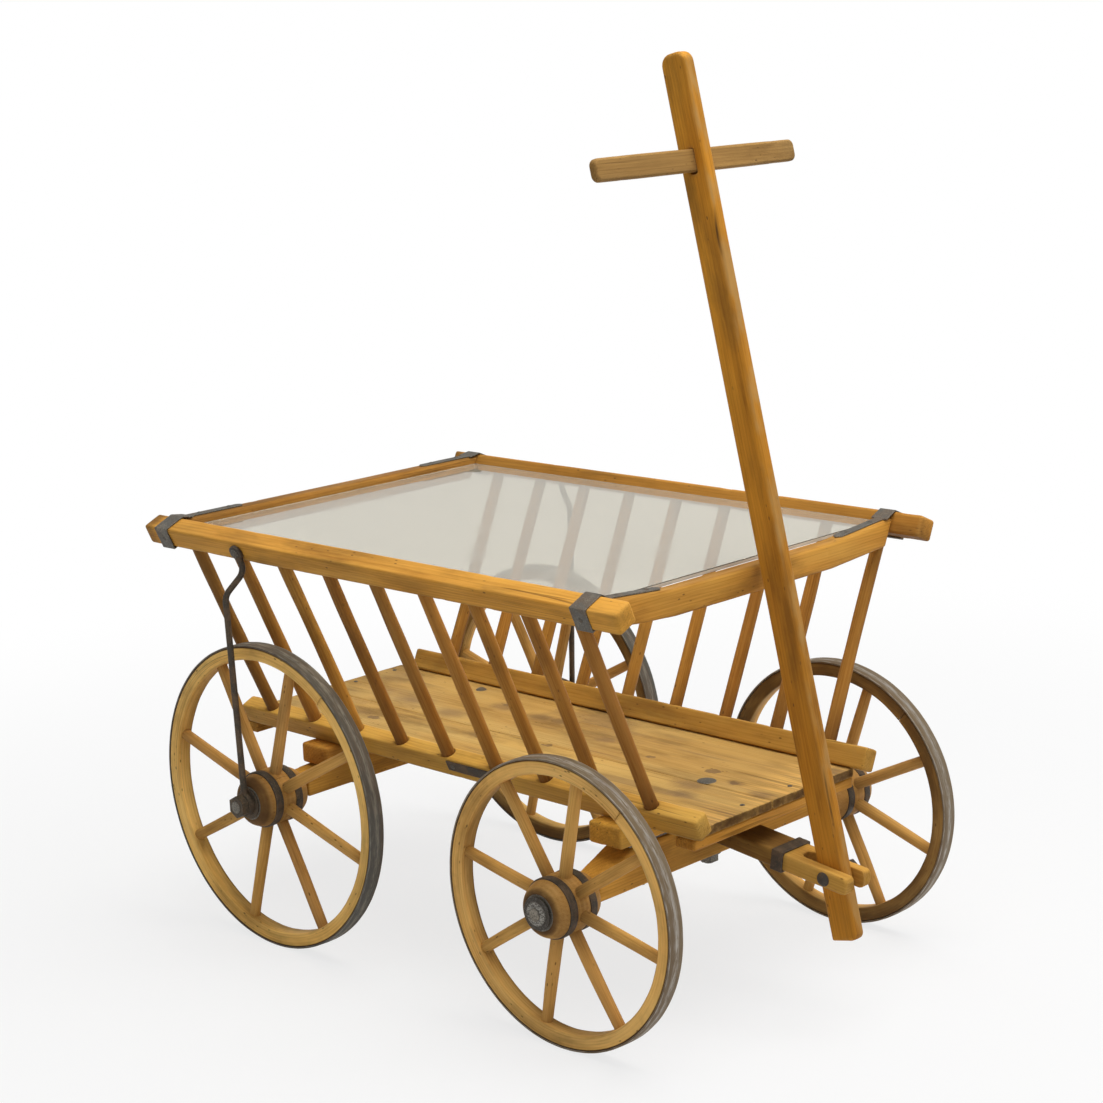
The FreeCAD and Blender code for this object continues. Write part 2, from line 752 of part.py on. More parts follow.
def make_ladder(side, nails, stay_bolts, planks):
    """One leaning ladder side: two rails and the spindles between them."""
    frame = LADDERS[side]
    first_y = {"left": "spindle_first_y", "right": "spindle_first_y - right_spindle_lead"}[side]
    spindles = []
    for index in range(SPINDLES):
        spindles.append(rod(f"{side}_spindle_{index + 1}", frame, "spindle_radius", "spindle_length", "0",
                            f"{first_y} + {index} * spindle_pitch",
                            "bottom_rail_height / 2 - spindle_tenon"))
    sticks = group(f"{side}_spindle_sticks", spindles)
    node(cut(f"{side}_spindles", sticks, nails, stay_bolts))

    bottom = bar(f"{side}_bottom_rail_blank", "Y", "bottom_rail_width", "bottom_rail_height",
                 "bottom_rail_length", "rail_edge", "rail_end")
    place(bottom, frame, y="bottom_rail_y")
    node(cut(f"{side}_bottom_rail", bottom, sticks, nails, group(f"{side}_rail_planks", planks)))

    top = bar(f"{side}_top_rail_blank", "Y", "top_rail_width", "top_rail_height", "top_rail_length",
              "rail_edge", "rail_end")
    place(top, frame, y="top_rail_y", z="ladder_height")
    node(cut(f"{side}_top_rail", top, sticks, nails, stay_bolts))
    return bottom


def make_end_rail(end, nails):
    """A rail between the ladder sides' tops; the front one is dished down between its ends."""
    name = f"{end}_end_rail"
    rail_y, top, _ = END_RAILS[end]
    dished = end == "front"
    low = f"{top} - end_height"
    end_top_x = inner_face(top)
    end_low_x = inner_face(low)
    points = [(f"-({end_low_x})", low)]
    if dished:
        points += [("-dish_half", f"{low} - dish_below"), ("dish_half", f"{low} - dish_below")]
    points += [(end_low_x, low), (end_top_x, top)]
    if dished:
        points += [("dish_half", f"{top} - dish_depth"), ("-dish_half", f"{top} - dish_depth")]
    points += [(f"-({end_top_x})", top)]
    blank = padded(f"{name}_blank", "XZ_Plane", points, "end_thickness")
    reach = measure(end_low_x)
    ease(blank, "Chamfer", lambda point: not near(point.y, 0) and abs(point.x) < reach, Size="end_edge")
    place(blank, GROUND, y=rail_y)
    node(cut(name, blank, nails))


def make_corner_straps(nails):
    """Four bent iron straps: a narrow leg on an end rail's top and a wide wrap round a side rail."""
    straps = []
    half = "top_rail_width / 2"
    rise = "top_rail_height / 2"
    under = f"-{half} + strap_under"
    thick = "strap_thickness"
    for corner, (rail_y, top, fall) in END_RAILS.items():
        start_z = strap_start(top, fall)
        tip_z = f"{start_z} - strap_leg * {fall}"
        leg_points = [
            ("strap_tip", tip_z),
            ("strap_rise", start_z),
            ("strap_rise", f"{start_z} + {thick}"),
            ("strap_tip", f"{tip_z} + {thick}"),
        ]
        wrap_points = [
            ("strap_rise", start_z),
            on_top_rail(half, rise),
            on_top_rail(f"-{half}", rise),
            on_top_rail(f"-{half}", f"-{rise}"),
            on_top_rail(under, f"-{rise}"),
            on_top_rail(under, f"-{rise} - {thick}"),
            on_top_rail(f"-{half} - {thick}", f"-{rise} - {thick}"),
            on_top_rail(f"-{half} - {thick}", f"{rise} + {thick}"),
            on_top_rail(half, f"{rise} + {thick}"),
            ("strap_rise", f"{start_z} + {thick}"),
        ]
        for side, sign in SIDES.items():
            name = f"{corner}_{side}_strap"
            leg, wrap = (
                padded(f"{name}_{half_name}", "XZ_Plane", [(f"{sign} * ({x})", z) for x, z in points], width)
                for half_name, points, width in (("leg", leg_points, "strap_leg_width"),
                                                 ("wrap", wrap_points, "strap_width"))
            )
            tip = measure("strap_tip")
            ease(leg, "Chamfer", lambda point: near(abs(point.x), tip) and not near(point.y, 0),
                 Size="strap_point")
            for piece in (leg, wrap):
                place(piece, GROUND, y=rail_y)
            straps.append(cut(name, fuse(f"{name}_blank", [leg, wrap]), nails))
    node(group("corner_straps", straps))


def make_rub_plates(nails):
    """Iron plates on the bottom rails, where a front wheel touches at full lock."""
    plates = []
    for side, sign in SIDES.items():
        blank = block(f"{side}_rub_plate_blank", LADDERS[side], "rub_plate_thickness", "rub_plate_length",
                      "rub_plate_height", f"{sign} * (bottom_rail_width + rub_plate_thickness) / 2",
                      "front_axle_y + rub_plate_reach", "rub_plate_lift - rub_plate_height / 2")
        plates.append(cut(f"{side}_rub_plate", blank, nails))
    node(group("rub_plates", plates))


def make_bed(kingbolt, bed_bolts, nails):
    """Two long planks with a joint near the middle, and a batten under each end."""
    planks = []
    edges = {
        "left": ("-bed_half", "plank_joint_x - plank_gap / 2"),
        "right": ("plank_joint_x + plank_gap / 2", "bed_half"),
    }
    for side, (start, end) in edges.items():
        width = f"({end}) - ({start})"
        blank = bar(f"{side}_bed_plank_blank", "Y", width, "plank_thickness", "bed_length", "plank_edge",
                    "plank_edge")
        place(blank, GROUND, f"(({start}) + ({end})) / 2", "bed_y", "deck_z + plank_thickness / 2")
        planks.append(blank)
        node(cut(f"{side}_bed_plank", blank, kingbolt, bed_bolts, nails))
    battens = []
    for end, sign in (("front", -1), ("rear", 1)):
        blank = bar(f"{end}_batten_blank", "X", "batten_width", "batten_thickness", "2 * bed_half",
                    "plank_edge", "plank_edge")
        place(blank, GROUND, "0",
              f"bed_y + {sign} * (bed_length / 2 - batten_inset - batten_width / 2)",
              "deck_z - batten_thickness / 2")
        battens.append(cut(f"{end}_batten", blank, nails))
    node(group("bed_battens", battens))
    return planks


def make_bolster(axle, rails, planks, through):
    """A cross timber that carries the bottom rails in notches and the bed in a housing."""
    blank = bar(f"{axle}_bolster_blank", "X", "bolster_width", "bolster_height", "2 * bolster_half",
                "bolster_edge", "bolster_edge")
    place(blank, GROUND, "0", AXLES[axle][0], "bolster_bottom + bolster_height / 2")
    node(cut(f"{axle}_bolster", blank, group(f"{axle}_bolster_rails", rails),
             group(f"{axle}_bolster_planks", planks), through))


def make_running_gear(kingbolt, kingbolt_room, bed_bolts, front_bolts):
    """Axle beams with their arms, the wear plates and the tongue."""
    rear_arms = make_axle_arms("rear", "collar_end + stay_eye + hex_nut_length")
    front_arms = make_axle_arms("front", "collar_end + round_nut_length")
    node(cut("rear_axle_arms_drilled", rear_arms, bed_bolts)).Label = "rear_axle"
    node(cut("front_axle_arms_drilled", front_arms, front_bolts)).Label = "front_axle"

    rear_beam = padded("rear_axle_beam_blank", "XZ_Plane",
                       beam_outline("rear_beam_bottom", "rear_beam_height"), "rear_beam_width")
    place(rear_beam, GROUND, y="rear_axle_y")
    node(cut("rear_axle_beam", rear_beam, rear_arms, bed_bolts))

    upper = block("upper_wear_plate_blank", GROUND, "2 * upper_plate_half", "upper_plate_width",
                  "wear_plate", "0", "front_axle_y", "bolster_bottom - wear_plate")
    node(cut("upper_wear_plate", upper, kingbolt))
    lower = block("lower_wear_plate_blank", GROUND, "2 * lower_plate_half", "lower_plate_width",
                  "wear_plate", "0", "front_axle_y", "lower_plate_bottom")
    node(cut("lower_wear_plate", lower, kingbolt_room))

    front_beam = padded("front_axle_beam_blank", "XZ_Plane",
                        beam_outline("front_beam_bottom", "front_beam_height"), "front_beam_width")
    place(front_beam, GROUND, y="front_axle_y")
    channel = block("tongue_channel", TONGUE, "tongue_width", "3 * front_beam_width",
                    "tongue_height + 2 * tongue_drop", z="-tongue_height / 2")
    node(cut("front_axle_beam", front_beam, channel, kingbolt_room, front_arms, front_bolts))


def make_tongue(kingbolt_room):
    """The tongue: a bar through the front axle beam with a fork for the pole, its band and its bolt."""
    blank = padded("tongue_blank", "XY_Plane", [
        ("-tongue_width / 2", "tongue_tail"),
        ("-tongue_width / 2", "-pin_reach - fork_nose"),
        ("tongue_width / 2", "-pin_reach - fork_nose"),
        ("tongue_width / 2", "tongue_tail"),
    ], "tongue_height")
    nose = -measure("pin_reach + fork_nose")
    side = measure("tongue_width / 2")
    ease(blank, "Fillet", lambda point: near(point.y, nose) and near(point.x, 0), Radius="fork_nose_round")
    ease(blank, "Chamfer", lambda point: near(abs(point.x), side), Size="tongue_edge")
    place(blank, TONGUE)
    slot_reach = "pin_reach - slot_back + slot_width / 2"
    slot = fuse("fork_slot", [
        block("fork_slot_run", TONGUE, "slot_width", f"pin_reach + fork_nose - ({slot_reach})",
              "2 * tongue_height", y=f"-(({slot_reach}) + pin_reach + fork_nose) / 2", z="-tongue_height"),
        rod("fork_slot_end", TONGUE, "slot_width / 2", "2 * tongue_height", "0", f"-({slot_reach})",
            "-tongue_height"),
    ])
    head = bolt("fork_bolt_pin", TONGUE, "fork_bolt_radius",
                "tongue_width + fork_bolt_nut_height + bolt_tail", "fork_bolt_head_radius",
                "fork_bolt_head_height", "-tongue_width / 2", "-pin_reach", "0", "+X")
    nut = hex_nut("fork_bolt_nut", TONGUE, "fork_bolt_nut_radius", "fork_bolt_nut_height",
                  "fork_bolt_radius", "tongue_width / 2", "-pin_reach", "0", "+X")
    fork_bolt = node(group("fork_bolt", [head, nut]))
    node(cut("tongue", blank, slot, kingbolt_room, fork_bolt))

    grown = "tongue_band_thickness"
    outside = block("tongue_band_outside", TONGUE, f"tongue_width + 2 * {grown}", "tongue_band_width",
                    f"tongue_height + 2 * {grown}", y="-tongue_band_reach",
                    z=f"-tongue_height / 2 - {grown}")
    node(cut("tongue_band", outside, blank))


def make_pole():
    """The pull pole on the fork bolt, and the crossbar through its mortise."""
    body = doc.addObject("PartDesign::Body", "pole_blank")
    pad = body.newObject("PartDesign::Pad", "pole_pad")
    pad.Profile = outline(body, "pole_outline", "XY_Plane", box_outline("pole_width", "pole_depth"))
    pad.SideType = "Two sides"
    bind(pad, Length="pole_up", Length2="pole_tail")
    doc.recompute()
    top = measure("pole_up")
    foot = -measure("pole_tail")
    side = measure("pole_width / 2")
    ease(body, "Fillet", lambda point: near(point.z, top) and near(point.x, 0), Radius="pole_top_round")
    ease(body, "Fillet", lambda point: near(point.z, foot) and near(point.x, 0) and point.y < 0,
         Radius="pole_foot_round")
    ease(body, "Chamfer", lambda point: near(abs(point.x), side), Size="pole_edge")
    place(body, POLE)

    pin_room = rod("pole_pin_room", POLE, "fork_bolt_radius + running_clearance", "2 * pole_width",
                   "-pole_width", "0", "0", "+X")
    mortise = block("pole_mortise", POLE, "2 * pole_width", "crossbar_thickness",
                    "crossbar_height + crossbar_gap", z="crossbar_up - crossbar_height / 2 - crossbar_gap")
    node(cut("pole", body, pin_room, mortise))

    half = "crossbar_length / 2"
    flat = "crossbar_flat / 2"
    crossbar = padded("crossbar", "XZ_Plane", [
        (f"-{half}", "-crossbar_end_height / 2"),
        (f"-{flat}", "-crossbar_height / 2"),
        (flat, "-crossbar_height / 2"),
        (half, "-crossbar_end_height / 2"),
        (half, "crossbar_end_height / 2"),
        (flat, "crossbar_height / 2"),
        (f"-{flat}", "crossbar_height / 2"),
        (f"-{half}", "crossbar_end_height / 2"),
    ], "crossbar_thickness")
    reach = measure(half)
    thick = measure("crossbar_thickness / 2")
    ease(crossbar, "Fillet", lambda point: near(abs(point.x), reach) and not near(point.z, 0),
         Radius="crossbar_end_round")
    ease(crossbar, "Chamfer", lambda point: near(abs(point.y), thick), Size="crossbar_edge")
    place(crossbar, POLE, z="crossbar_up")
    node(crossbar)


def make_stay_bolts():
    """The bolts that hold the rear wheel stays to the top rails."""
    bolts = []
    for side, sign in SIDES.items():
        inward = "-X" if side == "right" else "+X"
        bolts.append(bolt(f"stay_bolt_{side}", LADDERS[side], "stay_bolt_radius",
                          "stay_pad_thickness + stay_bolt_bite", "stay_head_radius", "stay_head_height",
                          f"{sign} * (top_rail_width / 2 + stay_pad_thickness)", "rear_axle_y",
                          "ladder_height", inward))
    return node(group("stay_bolts", bolts))


def bent_rod(points, radius, bend):
    """A round rod along straight runs joined by arcs."""
    edges = []
    start = points[0]
    for before, corner, after in zip(points, points[1:], points[2:]):
        into = (corner - before).normalize()
        out = (after - corner).normalize()
        half_turn = into.getAngle(out) / 2
        trim = bend * math.tan(half_turn)
        entry = corner - into * trim
        leave = corner + out * trim
        middle_way = (out - into).normalize()
        sagitta = bend / math.cos(half_turn) - bend
        edges.append(Part.LineSegment(start, entry).toShape())
        edges.append(Part.Arc(entry, corner + middle_way * sagitta, leave).toShape())
        start = leave
    edges.append(Part.LineSegment(start, points[-1]).toShape())
    first_way = points[1] - points[0]
    section = Part.Wire(Part.makeCircle(radius, points[0], first_way))
    return Part.Wire(edges).makePipeShell([section], True, False)


def make_stays(stay_bolts):
    """Forged rods from the top rails down to eyes on the rear axle's ends."""
    stays = []
    for side, sign in SIDES.items():
        frame = LADDERS[side]
        eye = ring(f"{side}_stay_eye", wheel_frame("rear", side), "stay_eye_radius", "axle_radius",
                   "stay_eye", "collar_end", way="+X")
        pad = rod(f"{side}_stay_pad", frame, "stay_pad_radius", "stay_pad_thickness",
                  f"{sign} * top_rail_width / 2", "rear_axle_y", "ladder_height",
                  "+X" if side == "right" else "-X")
        axle_y = measure("rear_axle_y")
        off_face = "-top_rail_width / 2 - stay_radius - stay_gap"
        top_x, top_z = (measure(text) for text in on_top_rail(off_face, "0"))
        off_edge = f"{off_face} - stay_radius / 2"
        low_x, low_z = (measure(text) for text in on_top_rail(off_edge, "-stay_hook_drop"))
        bow = measure("stay_bow")
        points = [
            FreeCAD.Vector(sign * top_x, axle_y, top_z),
            FreeCAD.Vector(sign * low_x, axle_y - measure("stay_hook"), low_z),
            FreeCAD.Vector(sign * bow, axle_y, measure("top_z - stay_bow_drop")),
            FreeCAD.Vector(sign * measure("collar_end + stay_eye / 2"), axle_y,
                           measure("rear_radius + (axle_radius + stay_eye_radius) / 2")),
        ]
        run = doc.addObject("Part::Feature", f"{side}_stay_rod")
        run.Shape = bent_rod(points, measure("stay_radius"), measure("stay_bend"))
        stays.append(cut(f"{side}_stay", fuse(f"{side}_stay_blank", [eye, pad, run]), stay_bolts))
    node(group("rear_stays", stays))


def make_glass():
    """The glass table top, whose long edges rest on the side rails' sloping inner faces."""
    width = f"2 * ({inner_face('glass_bottom')} - glass_side_gap)"
    glass = block("glass_top", GROUND, width, "glass_length", "glass_thickness", "0",
                  "(front_rail_y + rear_rail_y) / 2", "glass_bottom")
    node(glass)


def check_and_write():
    """Refuses a failed or invalid piece, then writes every piece to its own file."""
    doc.recompute()
    failed = [thing.Name for thing in doc.Objects if {"Invalid", "Error"} & set(thing.State)]
    if failed:
        raise RuntimeError(f"failed objects: {failed}")
    for piece in nodes:
        if piece.Shape.isNull() or not piece.Shape.isValid() or not piece.Shape.Solids:
            raise RuntimeError(f"bad shape: {piece.Label}")
    os.makedirs("parts", exist_ok=True)
    for piece in nodes:
        piece.Shape.exportStep(f"parts/{piece.Label}.step")
        print(f"{piece.Label}: {len(piece.Shape.Solids)} solids, {piece.Shape.Volume:.1f} mm3")


# Where each end rail lies, the height of its top at its ends and the fall for each millimetre inwards
END_RAILS = {
    "front": ("front_rail_y", "front_top", f"(dish_depth / ({inner_face('front_top')} - dish_half))"),
    "rear": ("rear_rail_y", "rear_top", "0"),
}

fill_sheet()
for axle_name in AXLES:
    for side_name in SIDES:
        make_wheel(axle_name, side_name)
make_round_nuts()
make_hex_nuts()
all_nails = make_nails()
all_stay_bolts = make_stay_bolts()
king, king_room = make_kingbolt()
rear_bolts, front_bolts = make_beam_bolts()
plank_blanks = make_bed(king, rear_bolts, all_nails)
rail_blanks = [make_ladder(side_name, all_nails, all_stay_bolts, plank_blanks) for side_name in SIDES]
for end_name in END_RAILS:
    make_end_rail(end_name, all_nails)
make_corner_straps(all_nails)
make_rub_plates(all_nails)
make_bolster("front", rail_blanks, plank_blanks, king)
make_bolster("rear", rail_blanks, plank_blanks, rear_bolts)
make_running_gear(king, king_room, rear_bolts, front_bolts)
make_tongue(king_room)
make_pole()
make_stays(all_stay_bolts)
make_glass()
check_and_write()
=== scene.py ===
import json
import math

import bmesh
import bpy
import numpy as np
from bpy.props import FloatProperty, FloatVectorProperty, PointerProperty
from mathutils import Matrix, Vector

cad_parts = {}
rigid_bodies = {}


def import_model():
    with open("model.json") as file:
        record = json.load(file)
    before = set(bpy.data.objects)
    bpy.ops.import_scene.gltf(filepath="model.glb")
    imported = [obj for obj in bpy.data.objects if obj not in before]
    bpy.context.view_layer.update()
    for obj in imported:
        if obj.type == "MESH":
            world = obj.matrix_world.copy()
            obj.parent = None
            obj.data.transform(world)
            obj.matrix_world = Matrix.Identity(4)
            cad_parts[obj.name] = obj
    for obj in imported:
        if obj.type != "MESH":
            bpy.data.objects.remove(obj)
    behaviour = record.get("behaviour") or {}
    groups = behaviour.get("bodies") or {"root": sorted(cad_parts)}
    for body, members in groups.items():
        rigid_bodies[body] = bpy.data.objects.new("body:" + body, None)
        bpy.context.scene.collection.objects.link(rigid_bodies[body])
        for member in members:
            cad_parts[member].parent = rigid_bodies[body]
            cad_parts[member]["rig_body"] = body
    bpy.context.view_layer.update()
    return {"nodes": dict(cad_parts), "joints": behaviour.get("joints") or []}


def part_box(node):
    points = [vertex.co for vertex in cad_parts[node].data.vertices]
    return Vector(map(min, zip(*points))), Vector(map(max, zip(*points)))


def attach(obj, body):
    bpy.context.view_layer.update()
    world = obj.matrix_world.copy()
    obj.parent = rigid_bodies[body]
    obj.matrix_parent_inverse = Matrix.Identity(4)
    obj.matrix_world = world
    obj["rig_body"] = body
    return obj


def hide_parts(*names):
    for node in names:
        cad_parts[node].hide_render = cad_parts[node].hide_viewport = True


bl_info = {
    "name": "Wagon cart table",
    "version": (1, 0, 0),
    "blender": (4, 5, 0),
    "location": "3D View > Sidebar > Cart",
    "description": "Weathered wood, forged iron and glass for a hay wagon that serves as a table",
    "category": "Add Mesh",
}

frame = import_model()
PIVOTS = {joint["name"]: Vector(joint["pos_m"]) for joint in frame["joints"]}

# The cart's directions, and the way to each of its sides
RIGHT = (1, 0, 0)
REAR = (0, 1, 0)
UP = (0, 0, 1)
SIDES = {"left": -1, "right": 1}

# How the slanting pieces stand: the ladder sides, the pole and the tongue
LEAN = math.radians(24.08)
POLE_LEAN = math.radians(12.95)
TONGUE_TILT = math.radians(7)

# Each wheel's radius, its first spoke's angle and its felloe joint's angle, from the rear upwards
WHEELS = {
    "front_left": (0.200, 11.5, 128),
    "front_right": (0.200, 19, 132),
    "rear_left": (0.230, 16.5, 128),
    "rear_right": (0.230, 16, 118),
}
SPOKES = 8
SPINDLES = 9

# Knots and bolt marks, and softer stains, on the bed: place across, place along and radius, in millimetres
KNOTS = (
    (39, -259, 9), (36, -147, 5), (16, -319, 6), (-12, 14, 7), (-96, -180, 6), (104, 212, 7),
    (-70, 330, 8),
)
STAINS = (
    (93, 206, 26), (18, 251, 30), (86, 124, 22), (35, 349, 28), (85, 81, 18), (-37, 130, 22),
    (-28, -275, 26), (-62, -292, 20), (17, -319, 13), (142, -396, 26), (-3, -381, 18),
    (-120, 60, 24), (60, -40, 18),
)

# Each wood: the pieces made of it, and the colours of its early and late growth
WOODS = {
    "honey": ("rails and beams", (0.70, 0.345, 0.057), (0.40, 0.165, 0.020)),
    "turned": ("spindles", (0.485, 0.232, 0.046), (0.28, 0.108, 0.016)),
    "rim": ("felloes", (0.90, 0.52, 0.148), (0.56, 0.26, 0.054)),
    "spoke": ("spokes", (0.70, 0.385, 0.105), (0.42, 0.195, 0.042)),
    "sill": ("dusty bottom rails and tongue", (0.61, 0.335, 0.065), (0.36, 0.165, 0.027)),
    "bed": ("bed", (0.53, 0.335, 0.102), (0.31, 0.165, 0.040)),
    "pole": ("pole", (0.66, 0.278, 0.030), (0.36, 0.127, 0.012)),
    "handle": ("worn crossbar", (0.38, 0.215, 0.066), (0.2, 0.105, 0.032)),
    "hub": ("greasy hubs", (0.46, 0.24, 0.064), (0.27, 0.128, 0.034)),
}

# What the materials read at each point of a piece, besides its grain; the soil mark carries painted shade
# on some pieces as well as soil
MARKS = ("tone", "end", "edge", "soil")

# Edges that turn less than the first angle are dissolved, and those that turn more than the second filed
FLAT_ANGLE = math.radians(1)
SHARP_ANGLE = math.radians(32)

# Numbers that mix a cell's place and a seed into a random value
PLACE_MIX = (73856093, 19349663, 83492791)
SEED_MIX = 40503
LAST_MIX = 1274126177

# Share of the white surroundings that shiny surfaces mirror
MIRRORED = 0.4

WHITE = (1, 1, 1, 1)


def metres(label, text, value, least=0.0):
    """A size that a user can change."""
    return FloatProperty(name=label, description=text, default=value, min=least, unit="LENGTH")


def colour(label, text, value):
    """A colour that a user can change."""
    return FloatVectorProperty(name=label, description=text, subtype="COLOR", size=4, min=0, max=1,
                               default=(*value, 1))


class CartSizes(bpy.types.PropertyGroup):
    """How coarse the worked surfaces are and how far age has worn them."""
    timber_cell: metres("Timber cell", "Mesh size of sawn timbers", 0.0021, 0.001)
    fine_cell: metres("Fine cell", "Mesh size of pole, crossbar and tongue", 0.0016, 0.001)
    iron_cell: metres("Iron cell", "Mesh size of forged straps and stays", 0.0011, 0.0005)
    wave: metres("Hand-planed wave", "Height of the slow waves on timber faces", 0.00045)
    dent: metres("Dents", "Depth of the knocks in timber", 0.0007)
    bow: metres("Stick bow", "How far spindles and spokes bend between their ends", 0.0012)
    ragged: metres("Ragged ends", "How far the bed's end grain is broken back", 0.0028)
    ease: metres("Hardware edge", "Rounding of nuts, bolts and plates", 0.0006)
    arris: metres("Glass edge", "Rounding of the glass top's edges", 0.0008)


class CartColours(bpy.types.PropertyGroup):
    """The colours of wood, iron, glass and floor."""
    dirt: colour("Dirt", "Old grime in the wood", (0.085, 0.042, 0.016))
    rubbed: colour("Rubbed edge", "Wood where the varnish is rubbed through", (0.56, 0.33, 0.11))
    # The stain colour also paints the grey shadow stripes on the bed
    stain_and_shadow: colour("Stain", "Weather stains on the bed", (0.165, 0.098, 0.052))
    # Iron's dark colour, also the painted shadow line on the glass edge and the shaded rear treads
    iron_dark: colour("Iron", "Forged iron under its oil", (0.104, 0.098, 0.084))
    # Band iron's dark colour, also the painted shadow on the front nuts' flanges
    band_dark: colour("Band iron", "Greasy iron of bands and stays", (0.052, 0.042, 0.032))
    iron_rust: colour("Rust", "Brown rust on iron", (0.135, 0.085, 0.048))
    iron_bright: colour("Rubbed iron", "Iron where it is rubbed bare", (0.40, 0.36, 0.29))
    steel: colour("Steel", "Bare worn steel of the front nuts", (0.50, 0.48, 0.43))
    road_worn: colour("Worn tread", "Tread that the road has rubbed bright", (0.56, 0.53, 0.48))
    tyre_grey: colour("Tyre", "Tread worn on the road", (0.205, 0.148, 0.085))
    # The glass tint is darkened as painted shade for the shaded floor seen through the glass
    glass_tint_and_shade: colour("Glass", "Tint of the table top", (0.62, 0.59, 0.50))
    glass_rim: colour("Glass edge", "Ground edge of the table top", (0.72, 0.70, 0.62))
    floor: colour("Floor", "Pale studio floor", (0.68, 0.68, 0.68))


for wood, (pieces, *growths) in WOODS.items():
    for shade, season, value in zip(("pale", "deep"), ("Early", "Late"), growths):
        CartColours.__annotations__[f"{wood}_{shade}"] = colour(
            f"{wood.title()} {shade}", f"{season} wood of the {pieces}", value)


def sizes():
    """The sizes that a user can change."""
    return bpy.context.scene.cart_sizes


def tint(name):
    """One of the colours as plain numbers."""
    return tuple(getattr(bpy.context.scene.cart_colours, name))


# Random relief

def scatter(points, seed):
    """Smooth random values from -1 to 1 over points given in cells, the same for the same seed."""
    cell = np.floor(points).astype(np.int64)
    part = points - cell
    part = part * part * (3 - 2 * part)
    total = np.zeros(len(points))
    for corner in np.ndindex(2, 2, 2):
        key = (cell + np.array(corner)) * PLACE_MIX
        mixed = key[:, 0] ^ key[:, 1] ^ key[:, 2] ^ seed * SEED_MIX
        mixed = (mixed ^ (mixed >> 13)) * LAST_MIX
        value = ((mixed ^ (mixed >> 16)) & 0xFFFF) / 32767.5 - 1
        total += value * np.prod(np.where(np.array(corner) == 1, part, 1 - part), axis=1)
    return total


def ripple(points, across, along, seed):
    """Random relief over grain coordinates, in two sizes, longer along the grain than across it."""
    cells = points / np.array((across, across, along))
    return 0.7 * scatter(cells, seed) + 0.3 * scatter(cells * 2.3, seed + 7)


def one_value(seed):
    """A single random value from 0 to 1."""
    return float(scatter(np.array([[seed * 3.17 + 0.5, seed * 1.31, 0.5]]), 11)[0] * 0.5 + 0.5)


def grain_shift(*seeds):
    """Where in its tree a piece is cut from: across, across and along the grain."""
    return np.array([one_value(seed) for seed in seeds]) * (0.05, 0.05, 3)


def ramp(values, start, stop):
    """How far values have come from start towards stop, from 0 to 1."""
    return np.clip((values - start) / (stop - start), 0, 1)


# Shapes before they become meshes

class Shape:
    """Points and faces, with what the materials read at each point."""

    def __init__(self, points, faces, grain, tone=0.5, end=0.0, edge=0.0, soil=0.0):
        self.points = np.asarray(points, float)
        self.faces = faces
        self.grain = np.asarray(grain, float)
        for name, values in zip(MARKS, (tone, end, edge, soil)):
            setattr(self, name, np.broadcast_to(np.asarray(values, float), len(points)))

    def mesh(self, name):
        """The shape as a smooth mesh that carries its marks."""
        made = bpy.data.meshes.new(name)
        made.from_pydata(self.points.tolist(), [], self.faces)
        layers = [("grain", "FLOAT_VECTOR", "vector"), *((mark, "FLOAT", "value") for mark in MARKS)]
        for label, kind, field in layers:
            layer = made.attributes.new(label, kind, "POINT")
            values = np.ascontiguousarray(getattr(self, label), np.float32)
            layer.data.foreach_set(field, values.ravel())
        made.shade_smooth()
        return made


def joined(shapes):
    """Several shapes as one."""
    faces = []
    count = 0
    for shape in shapes:
        faces += [[corner + count for corner in face] for face in shape.faces]
        count += len(shape.points)
    points, grain, *marks = (np.concatenate([getattr(shape, name) for shape in shapes])
                             for name in ("points", "grain", *MARKS))
    return Shape(points, faces, grain, *marks)


def linked(name, data):
    """A new object in the scene."""
    thing = bpy.data.objects.new(name, data)
    bpy.context.scene.collection.objects.link(thing)
    return thing


def show(shape, name, finish):
    """Puts a shape in place of the part of the same name, on the same body."""
    mesh = shape.mesh(name)
    mesh.materials.append(bpy.data.materials[finish])
    piece = linked(f"{name}_finish", mesh)
    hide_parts(name)
    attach(piece, frame["nodes"][name]["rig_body"])
    return piece


def axes(run, side, centre):
    """A piece's own axes: Z along its grain and X across one of its faces."""
    run = Vector(run).normalized()
    side = Vector(side).normalized()
    matrix = Matrix((side, run.cross(side), run)).transposed().to_4x4()
    matrix.translation = centre
    return matrix


def to_cart(local, matrix):
    """Points in a piece's own axes, brought to where they are in the cart."""
    return local @ np.array(matrix.to_3x3()).T + np.array(matrix.translation)


def middle(name):
    """The middle of a part's box."""
    low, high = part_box(name)
    return (low + high) / 2


def read_vectors(rows, field):
    """The vectors in a mesh's rows as an array."""
    values = np.zeros(len(rows) * 3, np.float32)
    rows.foreach_get(field, values)
    return values.reshape(-1, 3).astype(float)


def smoothed(mesh, steps, cell=None):
    """A copy of a mesh, cut anew into even cells if asked, with its corners worn round."""
    blank = linked("blank", mesh)
    if cell:
        cutting = blank.modifiers.new("Cells", "REMESH")
        cutting.mode = "VOXEL"
        cutting.voxel_size = cell
    wearing = blank.modifiers.new("Wear", "SMOOTH")
    wearing.factor = 0.5
    wearing.iterations = steps
    depsgraph = bpy.context.evaluated_depsgraph_get()
    worn = bpy.data.meshes.new_from_object(blank.evaluated_get(depsgraph))
    bpy.data.objects.remove(blank)
    return worn


